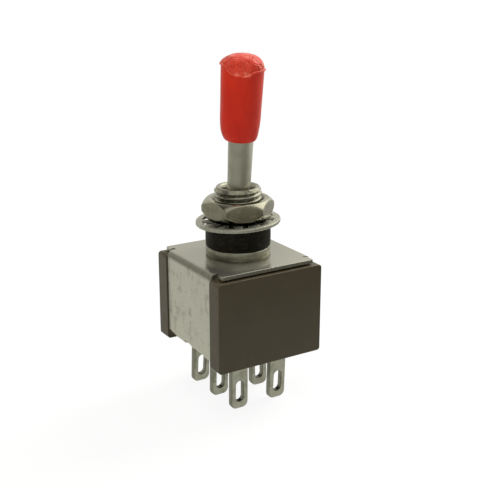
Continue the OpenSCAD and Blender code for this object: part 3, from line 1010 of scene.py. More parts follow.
@dataclass(frozen=True)
class Housing:
    """The moulded case and the folded steel frame round it."""

    case_y: float = 7.85
    flange_y: float = 5.6
    flange_x: float = 7.3  # the flanges' inner edges are rounded from here outwards
    base_drop: float = 0.9  # and from this far below the floor downwards
    plate_y: float = 7.25
    notch_y: float = 5.58
    leg_x: float = 7.25
    leg_depth: float = 0.55
    tab_y: float = 2.5
    tab_half: float = 1.05
    fall: float = 0.16  # how far the legs' lower edges hang
    fall_slope: float = -0.045
    fall_waves: Span = (0.14, 0.12)  # the long waves in them, and the short ones
    crease: float = 30.0
    levels: Levels = Levels()

    def flange_edges(self, spots: np.ndarray) -> np.ndarray:
        """Which of the spots are on the flanges' inner edges."""
        low = spots[:, 2] < self.levels.floor - self.base_drop
        return beside(spots, self.flange_y) & ((np.abs(spots[:, 0]) > self.flange_x) | low)

    def plate_edges(self, spots: np.ndarray) -> np.ndarray:
        """Which of the spots are on the plate's ends, or on its notches above the floor."""
        notches = beside(spots, self.notch_y, 0.011) & (spots[:, 2] > self.levels.floor)
        return beside(spots, self.plate_y) | notches

    def build(self) -> None:
        """Makes and dresses both pieces."""
        ends = Rounding(lambda spots: beside(spots, self.case_y), 0.08, 3)
        case = softened("case", "moulded_case", [ends, Rounding(self.flange_edges, 0.07, 2)])
        settle(case, MouldedPhenolic().material(), Body.BASE, "phenolic", "case")
        frame = softened("steel_frame", "folded_frame", [Rounding(self.plate_edges, 0.06, 3)], self.crease)
        self.shear(frame)
        settle(frame, StampedSteel().material(), Body.BASE, "frame_steel", "steel_frame")

    def shear(self, item: bpy.types.Object) -> None:
        """Makes the legs' lower edges uneven, as a worn shear leaves them.

        The edges beside the tabs are divided, and each point moves down by a slope towards the
        front plus seeded waves along Y.

        Args:
            item: the folded frame.
        """
        made = bmesh.new()
        made.from_mesh(item.data)
        floor, leg = self.levels.floor * MM, (self.leg_x - self.leg_depth) * MM

        def low(vertex: bmesh.types.BMVert) -> bool:
            """Whether a point is on a leg's lower edge."""
            return abs(vertex.co.z - floor) < 2e-5 and abs(vertex.co.x) > leg

        def low_edge(edge: bmesh.types.BMEdge) -> bool:
            """Whether an edge lies along a leg's lower edge and is long enough to be divided."""
            start, end = edge.verts
            return low(start) and low(end) and abs(start.co.y - end.co.y) > 0.5 * MM

        edges = [edge for edge in made.edges if low_edge(edge)]
        bmesh.ops.subdivide_edges(made, edges=edges, cuts=16, use_grid_fill=False)
        bmesh.ops.triangulate(made, faces=[f for f in made.faces if len(f.verts) > 4])
        spots = [vertex for vertex in made.verts if low(vertex)]
        y = np.array([vertex.co.y for vertex in spots]) / MM
        long, short = self.fall_waves
        drop = self.fall_slope * y + self.fall + long * waves(np.zeros_like(y), y, 61, (1, 2), 1.7)
        drop += short * waves(np.zeros_like(y), y, 62, (1, 2, 3), 0.6)
        free = np.abs(np.abs(y) - self.tab_y) > self.tab_half
        for vertex, down in zip(spots, drop * free):
            vertex.co.z -= down * MM
        made.to_mesh(item.data)
        made.free()
        shade(item, self.crease)
        weigh(item)


@dataclass(frozen=True)
class Bushing:
    """The turned bushing: riveted spigot, collar, thread, and the bore with the ball's seat."""

    collar_r: float = 4.125
    spigot_r: float = 3.3
    rivet_r: float = 3.8
    bottom: float = 17.9
    edge: float = 0.1  # how far the edges of the rivet and the collar are taken back
    chamfer: float = 0.34
    chamfer_drop: float = 0.45
    run_out: float = 0.5  # how far above the collar the thread gets its full depth
    wear: Span = (0.03, 0.02)  # how deep long and short waves wear the crests at the rim
    calm: float = 0.3  # the share of that wear that is left further down
    wear_drop: float = 1.2
    mouth: float = 0.2
    seat_r: float = 2.05
    seat_top: float = 1.094  # how far above the pivot the seat meets the cone
    bore_r: float = 2.1
    mouth_r: float = 1.501
    stem_r: float = 1.092
    flare: float = math.tan(math.radians(12))
    groove_half: float = 2.43
    groove_r: float = 0.48
    segments: int = 200
    crease: float = 50.0
    thread: Thread = Thread()
    levels: Levels = Levels()

    def outside(self) -> np.ndarray:
        """The outer line from the riveted lip up to the rim, as (radius, height).

        Returns:
            An array of points, in order.
        """
        v, edge, collar, major = self.levels, self.edge, self.collar_r, self.thread.major
        low = [
            (self.spigot_r, self.bottom), (self.rivet_r, v.rim - edge), (self.rivet_r, v.rim),
            (self.spigot_r, v.rim), (self.spigot_r, v.plate), (collar - 0.04, v.plate),
            (collar, v.plate + 0.05), (collar, v.collar_top - edge),
            (collar - 0.03, v.collar_top - 0.03), (collar - edge, v.collar_top),
            (major, v.collar_top),
        ]
        shaft = along([(major, v.collar_top + 0.02), (major, v.bushing_top)], 0.05)
        return np.vstack([along(low, 0.6), shaft])

    def inside(self) -> np.ndarray:
        """The bore's line from the rim down to the bottom, as (radius, height).

        Returns:
            An array of points, in order.
        """
        v, flare, mouth = self.levels, self.flare, self.mouth
        cone = v.bushing_top - v.pivot
        throat = [
            (self.mouth_r + flare * cone + mouth, v.bushing_top),
            (self.mouth_r + flare * (cone - mouth), v.bushing_top - mouth),
            (self.mouth_r + flare * self.seat_top, v.pivot + self.seat_top),
        ]
        seat = np.linspace(self.seat_top, 0.0, 12)
        ball = np.stack([np.sqrt(self.seat_r**2 - seat**2), v.pivot + seat], -1)[1:]
        shaft = [
            (self.bore_r, v.pivot),
            (self.bore_r, v.pivot - (self.bore_r - self.stem_r) / flare),
            (self.stem_r + flare * (v.pivot - self.bottom), self.bottom),
        ]
        return np.vstack([along(throat, 0.4), ball, along(shaft, 0.8)])

    def build(self) -> None:
        """Makes the bushing.

        The radius of the outer line is the smallest of the line itself, the helical thread above
        the collar, and a steep cone that narrows by the chamfer to the rim. Seeded waves wear
        the crests, most of all near the rim.
        """
        v, major, half = self.levels, self.thread.major, self.groove_half
        outside = self.outside()
        profile = np.vstack([outside, self.inside()])
        points, turn = revolved(profile, self.segments), around(self.segments)
        radius, height = profile[:, :1], profile[:, 1:]
        outer = np.arange(len(profile))[:, None] < len(outside)
        threaded = outer & (height > v.collar_top) & (radius <= major)
        full = np.clip((height - v.collar_top) / self.run_out, 0, 1)
        helix = major - (major - self.thread.radius(turn, height)) * full
        rim = major - self.chamfer * (1 - (v.bushing_top - height) / self.chamfer_drop)
        share = self.calm + (1 - self.calm) * np.clip(height - v.bushing_top + self.wear_drop, 0, 1)
        long, short = self.wear
        uneven = long * waves(turn, height, 3, (2, 5, 9), 1.1)
        uneven = uneven + short * waves(turn, height, 4, (17, 29, 37), 0.5)
        new = np.where(threaded, np.minimum(helix, rim) + share * uneven, radius)
        points[..., :2] *= (new / np.maximum(radius, 1e-6))[..., None]
        item = put_grid("threaded_bushing", points, True, self.crease)
        groove = bar("groove", (-half, -self.groove_r, self.bottom - 1), (half, self.groove_r, v.pivot))
        top = cross_rod("groove_top", self.groove_r, half)
        top.data.transform(shifted(v.pivot))
        cut(item, groove, "DIFFERENCE")
        cut(item, top, "DIFFERENCE")
        shade(item, self.crease)
        # Painted shade darkens the thread's grooves and the bore.
        finish = PlatedMetal(
            "nickel_bushing", (0.37, 0.365, 0.30), (0.20, 0.185, 0.12), 0.20, (2.5, 2.5, 6), 0.014, 0.9,
            painted_shade=0.5,
        )
        settle(item, finish.material(), Body.BASE, "nickel", "bushing")


@dataclass(frozen=True)
class SealingRing:
    """The rubber ring, squeezed a little more on the side where the washer sits lower."""

    outer: float = 4.125
    inner: float = 3.04
    top_gap: float = 0.02
    corner: float = 0.16
    wall: float = 0.2  # how deep the part of the section that bulges is
    bulge: float = 0.04
    ripple: float = 0.02
    shrink: float = 0.02
    segments: int = 128
    tilt: Tilt = Tilt()
    levels: Levels = Levels()

    def build(self) -> None:
        """Makes the ring.

        A rounded section is turned about Z. The height above the collar is scaled by one plus the
        tilt times the distance towards the high side, and the outer wall bulges by the sine of
        the height and waves a little.
        """
        low, top = self.levels.collar_top, self.levels.seal_top - self.top_gap
        corners = [(self.inner, low), (self.outer, low), (self.outer, top), (self.inner, top)]
        loop = rounded(corners, self.corner)
        loop = along([*loop, loop[0]], 0.25)[:-1]
        points, turn = revolved(loop, self.segments), around(self.segments)
        radius, height = loop[:, :1], loop[:, 1:]
        share = (height - low) / (top - low)
        points[..., 2] += share * (self.tilt.slope() * radius * np.cos(turn - self.tilt.lead()))
        swell = self.bulge * np.sin(math.pi * share)
        swell = swell + self.ripple * waves(turn, height, 11, (2, 3, 5, 8), 2.5)
        swell = np.where(radius > self.outer - self.wall, swell, 0.0)
        points[..., :2] *= (1 + (swell - self.shrink) / radius)[..., None]
        item = put_grid("rubber_seal", points, True, 60.0)
        settle(item, SealRubber().material(), Body.BASE, "seal_rubber", "sealing_ring")


@dataclass(frozen=True)
class LockWasher:
    """The internal-tooth washer: a flat band with teeth twisted out of its plane."""

    outer: float = 5.35
    band: float = 0.8
    sheet: float = 0.45
    band_corner: float = 0.13
    band_wave: float = 0.015
    teeth: int = 12
    tip_r: float = 3.14
    tooth_root: float = 0.55  # where a tooth starts, as a share of the band
    tooth_width: float = 1.1
    tooth_corner: float = 0.09
    taper: float = 0.1
    twist: float = 12.0
    twist_span: Span = (0.12, 0.25)  # where the twist starts, and how long it takes
    drop: float = -0.07
    segments: int = 144
    steps: int = 14
    tilt: Tilt = Tilt()
    levels: Levels = Levels()

    def band_points(self) -> np.ndarray:
        """The band: a rounded section turned about Z, with a faint stamped wave in its plane.

        Returns:
            An array of shape (section points, segments, 3).
        """
        inner, half = self.outer - self.band, self.sheet / 2
        corners = [(inner, -half), (self.outer, -half), (self.outer, half), (inner, half)]
        loop = rounded(corners, self.band_corner)
        points = revolved(loop, self.segments)
        points[..., 2] += self.band_wave * waves(around(self.segments), loop[:, 1:], 5, (2, 3, 7), 9.0)
        return points

    def tooth_points(self) -> np.ndarray:
        """All the teeth: a rounded section carried inwards along a radius.

        The section's turn about the radius grows from 0 at the band to the full twist over the
        first quarter of the way, and its width narrows by a tenth to the tip. Each end closes on
        the section's middle.

        Returns:
            An array of shape (teeth, steps, section points, 3).
        """
        half = self.sheet / 2
        corners = [(-0.5, -half), (0.5, -half), (0.5, half), (-0.5, half)]
        section = rounded(corners, self.tooth_corner, 3)
        way = np.concatenate([[0.0], np.linspace(0, 1, self.steps), [1.0]])
        size = np.concatenate([[0.0], np.ones(self.steps), [0.0]])[:, None]
        root = self.outer - self.band * self.tooth_root
        start, length = self.twist_span
        turn = math.radians(self.twist) * np.clip((way - start) / length, 0, 1)[:, None]
        across = section[None, :, 0] * self.tooth_width * (1 - self.taper * way)[:, None] * size
        up = section[None, :, 1] * size
        x = (root - (root - self.tip_r) * way)[:, None]
        y = across * np.cos(turn) - up * np.sin(turn)
        z = across * np.sin(turn) + up * np.cos(turn)
        spin = around(self.teeth)[:, None, None]
        ahead, aside = np.cos(spin), np.sin(spin)
        return np.stack([x * ahead - y * aside, x * aside + y * ahead, z + 0 * spin], -1)

    def build(self) -> None:
        """Makes the band and the teeth as one piece, tilted a little on the thread."""
        band, teeth = self.band_points(), self.tooth_points()
        points = np.vstack([band.reshape(-1, 3), teeth.reshape(-1, 3)])
        quads = [grid_quads(*band.shape[:2], True)]
        size = teeth[0].size // 3
        for count in range(self.teeth):
            quads.append(grid_quads(*teeth.shape[1:3], False) + band.size // 3 + count * size)
        lead = self.tilt.lead()
        points[:, 2] += self.tilt.slope() * (points[:, 0] * math.cos(lead) + points[:, 1] * math.sin(lead))
        points[:, 2] += self.levels.washer - self.drop
        item = put_mesh("toothed_washer", points, np.vstack(quads), 45.0)
        # A little painted shade darkens its corners, under the nut and between the teeth.
        finish = PlatedMetal(
            "washer_steel", (0.38, 0.38, 0.32), (0.24, 0.235, 0.175), 0.27, (3, 3, 3), 0.012, 1.6,
            pits=0.01, painted_shade=0.1, haze=0.35,
        )
        settle(item, finish.material(), Body.BASE, "washer_steel", "lock_washer")


@dataclass(frozen=True)
class HexNut:
    """The hexagon nut, turned to a rounded crown above and below."""

    flats: float = 8.1
    height: float = 2.6
    lift: float = 0.08
    waist: float = 0.2  # how far above the middle the corners reach furthest
    slope: float = 0.3
    curve: tuple[float, float] = (0.36, 0.5)  # below the waist, and above it
    turn: float = -20.0
    corner: float = 0.15  # how far the crowns' circle reaches beyond the hexagon's corners
    waist_soft: float = 0.02
    soft: float = 0.02  # how gently the crowns run into the flats
    edge: float = 0.05
    countersink: float = 0.3
    sink_depth: float = 0.5
    segments: int = 480
    rows: tuple[int, int, int] = (56, 5, 44)  # points up the outside, over a face and down the bore
    thread: Thread = Thread()
    clearance: float = 0.04
    levels: Levels = Levels()

    def outer_radius(self, turn: np.ndarray, height: np.ndarray) -> np.ndarray:
        """Radius of the nut's outside.

        The soft smallest of the hexagon, which is half the flats over the cosine of the angle
        from the middle of a flat, and the crown, which falls from the corners by the slope times
        the distance from the waist, and by the curve times its square.

        Args:
            turn: angle round the axis, in radians.
            height: height above the nut's middle, in millimetres.

        Returns:
            An array of radii, in the shape of both together.
        """
        off = np.mod(turn - math.radians(self.turn), TURN / 6) - TURN / 12
        hexagon = self.flats / 2 / np.cos(off)
        away = height - self.waist
        bend = np.where(away > 0, self.curve[1], self.curve[0])
        corner = self.flats / 2 / math.cos(math.pi / 6) + self.corner
        crown = corner - self.slope * np.sqrt(away**2 + self.waist_soft) - bend * away**2
        return -self.soft * np.log(np.exp(-hexagon / self.soft) + np.exp(-crown / self.soft))

    def build(self) -> None:
        """Makes the nut.

        The section runs up the outside, in over the top face, down the countersink and the
        threaded bore, and back along the bottom face. The bore follows the bushing's thread with
        a clearance.
        """
        half, edge = self.height / 2, self.edge
        middle = self.levels.nut_bottom + half + self.lift
        sink = self.thread.major + self.clearance + self.countersink
        turn = around(self.segments)
        up, over, down = self.rows
        outside = np.concatenate([[-half + 0.01], np.linspace(-half + edge, half - edge, up), [half - 0.01]])
        shrink = np.where(np.abs(outside) > half - edge * 0.9, 0.02, 0.0)[:, None]
        rim = self.outer_radius(turn, np.array([[half]])) - edge
        face = np.linspace(0, 1, over)[:, None]
        inside = np.linspace(half - self.sink_depth, -half + self.countersink, down)
        bore = self.thread.radius(turn, inside[:, None] + middle) + self.clearance
        walls = [
            (self.outer_radius(turn, outside[:, None]) - shrink, outside),
            (rim + (sink - rim) * face, np.full(over, half)),
            (bore, inside),
            (sink + (rim - sink) * face, np.full(over, -half)),
        ]
        radius = np.vstack([line for line, _ in walls])
        height = np.concatenate([level for _, level in walls])[:, None] + middle
        points = np.stack([radius * np.cos(turn), radius * np.sin(turn), height + 0 * turn], -1)
        item = put_grid("crowned_nut", points, True, 40.0)
        # Painted shade darkens the countersink and the threaded bore.
        finish = PlatedMetal(
            "nickel_nut", (0.43, 0.415, 0.33), (0.25, 0.23, 0.155), 0.12, (1.2, 1.2, 1.6), 0.010, 0.7,
            painted_shade=0.7,
        )
        settle(item, finish.material(), Body.BASE, "nickel", "hex_nut")


@dataclass(frozen=True)
class Lever:
    """The turned lever with its ball, stem and paddle, leaned within its play."""

    lean: float = 4.5
    root_r: float = 1.4
    shaft_r: float = 1.55
    reach: float = 8.85
    tip: float = 18.05
    tip_edge: float = 0.4
    neck: float = 1.6  # how far above the ball's centre the shaft starts
    ball_r: float = 2.0
    stem_r: float = 1.0
    stem: float = 7.23
    stem_edge: float = 0.05
    pin_r: float = 0.47
    pin_half: float = 4.0
    paddle: tuple[float, float, float] = (2.2, 1.0, 10.09)
    segments: int = 96
    crease: float = 40.0
    levels: Levels = Levels()

    def leaned(self, points: np.ndarray) -> np.ndarray:
        """Points turned about X by the lean, from the lever's frame into the part's.

        Args:
            points: an array of points about the ball's centre.

        Returns:
            The points in the part's frame.
        """
        a = math.radians(self.lean)
        x, y, z = points[..., 0], points[..., 1], points[..., 2]
        up = y * math.sin(a) + z * math.cos(a) + self.levels.pivot
        return np.stack([x, y * math.cos(a) - z * math.sin(a), up], -1)

    def lean_object(self, item: bpy.types.Object) -> None:
        """Leans a finished mesh, given in the lever's frame, in place.

        Args:
            item: the piece that is leaned.
        """
        mesh = item.data
        points = np.empty(len(mesh.vertices) * 3, np.float32)
        mesh.vertices.foreach_get("co", points)
        moved = self.leaned(points.reshape(-1, 3).astype(float) / MM) * MM
        mesh.vertices.foreach_set("co", np.ascontiguousarray(moved, np.float32).ravel())
        mesh.update()

    def build(self) -> None:
        """Makes the lever: a line of radii turned about its axis, joined to the paddle."""
        low, high = (math.asin(radius / self.ball_r) for radius in (self.stem_r, self.root_r))
        turn = np.linspace(low, math.pi - high, 26)
        ball = np.stack([self.ball_r * np.sin(turn), -self.ball_r * np.cos(turn)], -1)
        foot, edge, shaft, tip = -self.stem, self.stem_edge, self.shaft_r, self.tip
        bottom = [(0, foot), (self.stem_r - edge, foot), (self.stem_r, foot + edge)]
        side = [(self.root_r + 0.02, self.neck), (shaft, self.reach), (shaft, tip - self.tip_edge)]
        profile = np.vstack([bottom, ball, along(side, 0.7), [(shaft - self.tip_edge, tip), (0, tip)]])
        item = put_grid("turned_lever", revolved(profile, self.segments), False, self.crease)
        width, depth, end = self.paddle
        corner = (width / 2, depth / 2, self.stem_r - self.stem)
        paddle = bar("paddle", (-width / 2, -depth / 2, -end), corner)
        cut(item, paddle, "UNION")
        cut(item, cross_rod("pin_hole", self.pin_r, self.pin_half), "DIFFERENCE")
        self.lean_object(item)
        shade(item, self.crease)
        finish = PlatedMetal(
            "nickel_lever", (0.50, 0.50, 0.425), (0.36, 0.355, 0.28), 0.32, (2.6, 2.6, 0.5), 0.006, 0.6,
            -self.lean,
        )
        settle(item, finish.material(), Body.LEVER, "nickel", "lever")


@dataclass(frozen=True)
class LeverCap:
    """The soft cap: rounded skirt, sleeve, ragged moulding lip and gathered dome."""

    length: float = 10.75
    mouth_r: float = 1.66
    bore_r: float = 1.57
    bore: float = 9.3
    belly_r: float = 2.5
    dome_r: float = 2.63
    skirt: float = 4.0
    dome: float = 1.72
    lip: float = 0.15
    lip_line: tuple[Span, ...] = (
        (-0.02, -0.22), (0.4, -0.17), (1.0, -0.12), (1.0, -0.06), (0.5, -0.01), (-0.02, 0.06),
    )  # shares of the lip's reach, and heights against the start of the dome
    front: float = -121.75  # direction that the droop of the lip faces, in degrees
    dip: float = 0.78
    dip_width: float = 0.6
    dip_off: float = 0.14
    dip_lean: float = 0.3
    ripple: float = 0.10
    near: Span = (0.1, 0.8)  # how far under the dome the droop is full, and how fast it fades
    ragged: Span = (0.10, 0.06)  # long and short waves in the lip's reach
    crumple: Span = (0.10, 0.05)  # long and short waves in the dome
    sunk: float = 0.06
    sway: float = 0.03
    lopsided: float = 0.2  # how far the sleeve sits to one side of the bore
    trim: float = 0.25  # how far the mouth is trimmed back
    segments: int = 240
    lever: Lever = Lever()

    def droop(self, turn: np.ndarray) -> np.ndarray:
        """How far the lip hangs: a soft dip near the front, a rise to one side, and ripples.

        Args:
            turn: angle round the axis, in radians.

        Returns:
            How far each angle's lip hangs, in millimetres.
        """
        off = np.mod(turn - math.radians(self.front) + math.pi, TURN) - math.pi
        dip = self.dip * np.exp(-(((off + self.dip_off) / self.dip_width) ** 4))
        lean = self.dip_lean * (1 + np.cos(off + math.pi / 2))
        return dip - lean + self.ripple * waves(turn, np.zeros_like(turn), 21, (5, 8, 13, 21), 1.0)

    def outline(self) -> tuple[np.ndarray, int, int]:
        """The half section from the closed end of the bore round to the top of the dome.

        The skirt is a quarter of a superellipse, the sleeve is nearly straight, and the dome is a
        quarter of a fuller superellipse.

        Returns:
            The (radius, height) pairs, where the outside starts, and where the lip starts.
        """
        start, low, bore = self.length - self.dome, self.trim, self.bore_r
        inner = np.array([(0, self.bore), (bore, self.bore), (bore, low + 0.06), (bore + 0.05, low)])
        a = np.linspace(0, math.pi / 2, 18)
        skirt_r = self.mouth_r + (self.belly_r - self.mouth_r) * np.sin(a) ** 0.86
        skirt = np.stack([skirt_r, low + (self.skirt - low) * (1 - np.cos(a) ** 0.9)], -1)
        sleeve = along([(self.belly_r, self.skirt), (self.dome_r - 0.02, start - 0.34)], 0.2)[1:]
        lip = np.array([(self.dome_r + self.lip * out, start + up) for out, up in self.lip_line])
        b = np.linspace(0.09, math.pi / 2, 26)
        dome = np.stack([self.dome_r * np.cos(b) ** 0.8, start + self.dome * np.sin(b) ** 0.94], -1)
        dome[-1, 0] = 0
        first = len(inner) + len(skirt) + len(sleeve)
        return np.vstack([inner, skirt, sleeve, lip, dome]), len(inner), first

    def build(self) -> None:
        """Makes the cap.

        The outline is turned about the axis. The lip and all that is near it move down by the
        droop, the lip's reach is ragged, waves crumple the dome and sway the sleeve, and the
        outside sits to one side of the bore.
        """

        def mixed(level: np.ndarray, seeds: Sequence[tuple], depths: Span) -> np.ndarray:
            """Long and short waves together.

            Args:
                level: heights, or anything that the waves run along.
                seeds: seed, turns and pitch of each.
                depths: how deep each is.

            Returns:
                The sum.
            """
            (seed, turns, pitch), (fine_seed, fine_turns, fine_pitch) = seeds
            long = depths[0] * waves(turn, level, seed, turns, pitch)
            return long + depths[1] * waves(turn, level, fine_seed, fine_turns, fine_pitch)

        turn = around(self.segments)
        profile, outside, first = self.outline()
        start, row = self.length - self.dome, np.arange(len(profile))[:, None]
        radius, height = profile[:, :1], profile[:, 1:]
        outer = row >= outside
        drop, fade = self.near
        near = np.exp(-(((height - start + drop) / fade) ** 2)) * outer
        flash = np.zeros_like(height)
        flash[first + 1 : first + 5] = [[0.5], [1.0], [1.0], [0.5]]
        level = np.zeros_like(turn)
        ragged = mixed(level, ((31, (2, 7, 11, 17, 29), 1.0), (32, (23, 37, 41), 1.0)), self.ragged)
        crumple = mixed(height, ((41, (3, 5, 7, 9), 1.4), (42, (13, 17, 23), 0.8)), self.crumple)
        on_dome = np.clip((height - start) / 0.5, 0, 1) * (radius / self.dome_r) ** 0.5
        sway = self.sway * waves(turn, height, 43, (1, 2, 3), 8.0) * outer * np.clip(height / 2, 0, 1)
        sunk = on_dome * self.sunk * waves(turn, radius, 44, (2, 4, 7), 1.2)
        reach = np.maximum(radius + flash * ragged + on_dome * crumple + sway, 0.01)
        reach = np.where(radius > 0, reach, 0.0)
        share = height / self.length
        aside = self.lopsided * outer * (0.35 + 0.65 * np.clip(share / 0.14, 0, 1)) * (1 - 0.4 * share)
        lead = math.radians(self.front - 90)
        x = reach * np.cos(turn) + aside * math.cos(lead)
        y = reach * np.sin(turn) + aside * math.sin(lead)
        z = height - near * self.droop(turn) + sunk + self.lever.reach
        row = row + 0 * turn
        marks = {"dome": row > first + 3, "lip": (row > first) & (row < first + 5)}
        item = put_grid("soft_cap", self.lever.leaned(np.stack([x, y, z], -1)), False, 55.0, marks)
        settle(item, SoftVinyl().material(), Body.LEVER, "cap_vinyl", "lever_cap")


@dataclass(frozen=True)
class Terminals:
    """The six terminals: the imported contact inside, and a punched lug with rolled edges below."""

    pole_x: float = 2.9
    row_y: float = 4.8
    width: float = 2.4
    sheet: float = 0.8
    corner: float = 0.75
    eye: Span = (1.1, 2.8)
    eye_z: float = 2.35
    edge: float = 0.12
    top: float = 8.6
    levels: Levels = Levels()
    bends: tuple[tuple[Side, Row, Span], ...] = (
        (Side.LEFT, Row.FRONT, (-0.03, 0.05)),
        (Side.LEFT, Row.MIDDLE, (-0.2, -0.1)),
        (Side.LEFT, Row.REAR, (-0.24, 0.1)),
        (Side.RIGHT, Row.FRONT, (-0.15, 0.2)),
        (Side.RIGHT, Row.MIDDLE, (0.0, -0.2)),
        (Side.RIGHT, Row.REAR, (0.05, 0.05)),
    )  # how far each lug's tip is bent along X and Y

    @staticmethod
    def loop(half: float, low: float, high: float, radii: Span, inset: float) -> np.ndarray:
        """A rectangle with rounded corners, as points (x, z).

        Each corner is a quarter circle, larger by the inset's loss, and all loops have the same
        number of points, so that two of them can be joined.

        Args:
            half: half of the width.
            low: the lowest height.
            high: the highest height.
            radii: of the two low corners, and of the two high ones.
            inset: how far the loop is moved inwards.

        Returns:
            An array of points.
        """
        quarter = np.linspace(0, math.pi / 2, 9)
        arcs = []
        for count, (x, z) in enumerate([(1, -1), (1, 1), (-1, 1), (-1, -1)]):
            radius = max(radii[0 if z < 0 else 1] - inset, 0.005)
            across = x * (half - inset - radius)
            up = low + inset + radius if z < 0 else high - inset - radius
            arc = quarter + (count - 1) * math.pi / 2
            arcs.append(np.stack([across + radius * np.cos(arc), up + radius * np.sin(arc)], -1))
        return np.vstack(arcs)

    def lug(self, name: str, x: float, y: float, bend: Span) -> bpy.types.Object:
        """Makes one lug.

        Loops run round its outline and round its eye, and a rounded edge joins the faces to the
        walls. Below the floor a point moves by the bend, times the square of its way down.

        Args:
            name: the piece's name.
            x: the lug's middle along X.
            y: the lug's middle along Y.
            bend: how far its tip is bent along X and Y.

        Returns:
            The new object.
        """
        thick, floor = self.sheet / 2, self.levels.floor
        roll = np.linspace(0, math.pi / 2, 5)
        inset, out = self.edge * (1 - np.sin(roll)), thick - self.edge * (1 - np.cos(roll))
        tiers = [*zip(inset, -out), *zip(inset[::-1], out[::-1])]
        half, low = self.eye[0] / 2, self.eye_z - self.eye[1] / 2
        ends = (half - 0.002, half - 0.002)
        rim = [self.loop(self.width / 2, 0.0, self.top, (self.corner, 0.02), i) for i, _ in tiers]
        eye = [self.loop(half, low, low + self.eye[1], ends, -i) for i, _ in tiers[::-1]]
        flat = np.stack(rim + eye)
        depth = np.array([o for _, o in tiers + tiers[::-1]])[:, None] + 0 * flat[..., 0]
        down = np.clip((floor - flat[..., 1]) / floor, 0, 1) ** 2
        points = np.stack([flat[..., 0] + x + down * bend[0], depth + y + down * bend[1], flat[..., 1]], -1)
        return put_grid(name, points, True, 40.0, {"rim": np.abs(depth) < thick})

    def contact(self, node: str, x: float, y: float) -> bpy.types.Object:
        """Makes a copy of a packed terminal without what is below the lug's top.

        Args:
            node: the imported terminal.
            x: its middle along X.
            y: its middle along Y.

        Returns:
            The new object.
        """
        item = softened(node, f"{node}_inside", [])
        cut(item, bar("below", (x - 4, y - 4, -1), (x + 4, y + 4, self.top - 0.01)), "DIFFERENCE")
        return item

    def build(self) -> None:
        """Makes and dresses the six terminals."""
        finish = PlatedMetal(
            "tinned_brass", (0.46, 0.46, 0.39), (0.25, 0.25, 0.19), 0.27, (2.2, 2.2, 1.1), 0.02, 0.9,
            pits=0.01, edges=0.6,
        ).material()
        for side, row, bend in self.bends:
            place = f"{row.name.lower()}_{side.name.lower()}"
            node = f"terminal_{place}"
            x, y = side.value * self.pole_x, row.value * self.row_y
            item = self.lug(f"lug_{place}", x, y, bend)
            join(item, self.contact(node, x, y))
            settle(item, finish, Body.BASE, "tinned_metal", node)


@dataclass(frozen=True)
class Spring:
    """A plunger's coil spring, wound of round wire."""

    side: Side
    pole_x: float = 2.9
    radius: float = 0.6
    wire: float = 0.2
    low: float = 10.59
    high: float = 7.85
    stroke: float = 0.5
    turns: int = 6
    lever: Lever = Lever()

    def build(self, material: bpy.types.Material) -> None:
        """Makes the spring: a circle of wire carried along a helix, closed at both ends.

        Args:
            material: the wire's.
        """
        steps, b = 36 * self.turns, around(12)
        way = np.concatenate([[0.0], np.linspace(0, 1, steps), [1.0]])[:, None]
        size = np.concatenate([[0.0], np.ones(steps), [0.0]])[:, None] * self.wire / 2
        a, length = TURN * self.turns * way, self.low - self.high
        radius = self.radius + size * np.cos(b)
        x = radius * np.cos(a) + self.side.value * self.pole_x
        z = -self.low + self.wire / 2 + (length - self.wire) * way + size * np.sin(b)
        points = self.lever.leaned(np.stack([x, radius * np.sin(a), z], -1))
        side = self.side.name.lower()
        item = put_grid(f"wound_spring_{side}", points, False, 60.0)
        settle(item, material, Body.LEVER, "spring_steel", f"plunger_spring_{side}")
        ends = self.lever.leaned(np.array([[0, 0, -self.high], [0, 0, -self.low]])) * MM
        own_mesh(item)


class Mechanism:
    """The pieces inside the case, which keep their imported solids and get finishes."""

    def build(self) -> None:
        """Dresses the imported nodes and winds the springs."""
        wire = PlatedMetal(
            "music_wire", (0.42, 0.42, 0.40), (0.2, 0.19, 0.17), 0.25, (4, 4, 4), 0.004
        ).material()
        brass = PlatedMetal(
            "turned_brass", (0.62, 0.45, 0.20), (0.32, 0.2, 0.08), 0.24, (0.3, 0.3, 9), 0.005
        ).material()
        silver = PlatedMetal(
            "silvered_strip", (0.62, 0.60, 0.55), (0.34, 0.27, 0.2), 0.3, (0.5, 5, 1), 0.006
        ).material()
        nylon = PlainMoulding("natural_nylon", (0.72, 0.69, 0.60), (0.62, 0.58, 0.49), 0.4).material()
        dress = {
            "pivot_pin": wire, "actuator_block": nylon, "plunger_left": brass, "plunger_right": brass,
            "rocker_left": silver, "rocker_right": silver,
        }
        for node, material in dress.items():
            item = bpy.data.objects[node]
            item.data.materials.clear()
            item.data.materials.append(material)
            LOG.info("%s: packed solid", node)
        for side in Side:
            Spring(side).build(wire)


# --------------------------------------------------------------------------------- studio


@dataclass(frozen=True)
class Lamp:
    """A square soft lamp, with its place and size in millimetres."""

    name: str
    place: tuple[float, float, float]
    size: float
    power: float
    colour: Colour


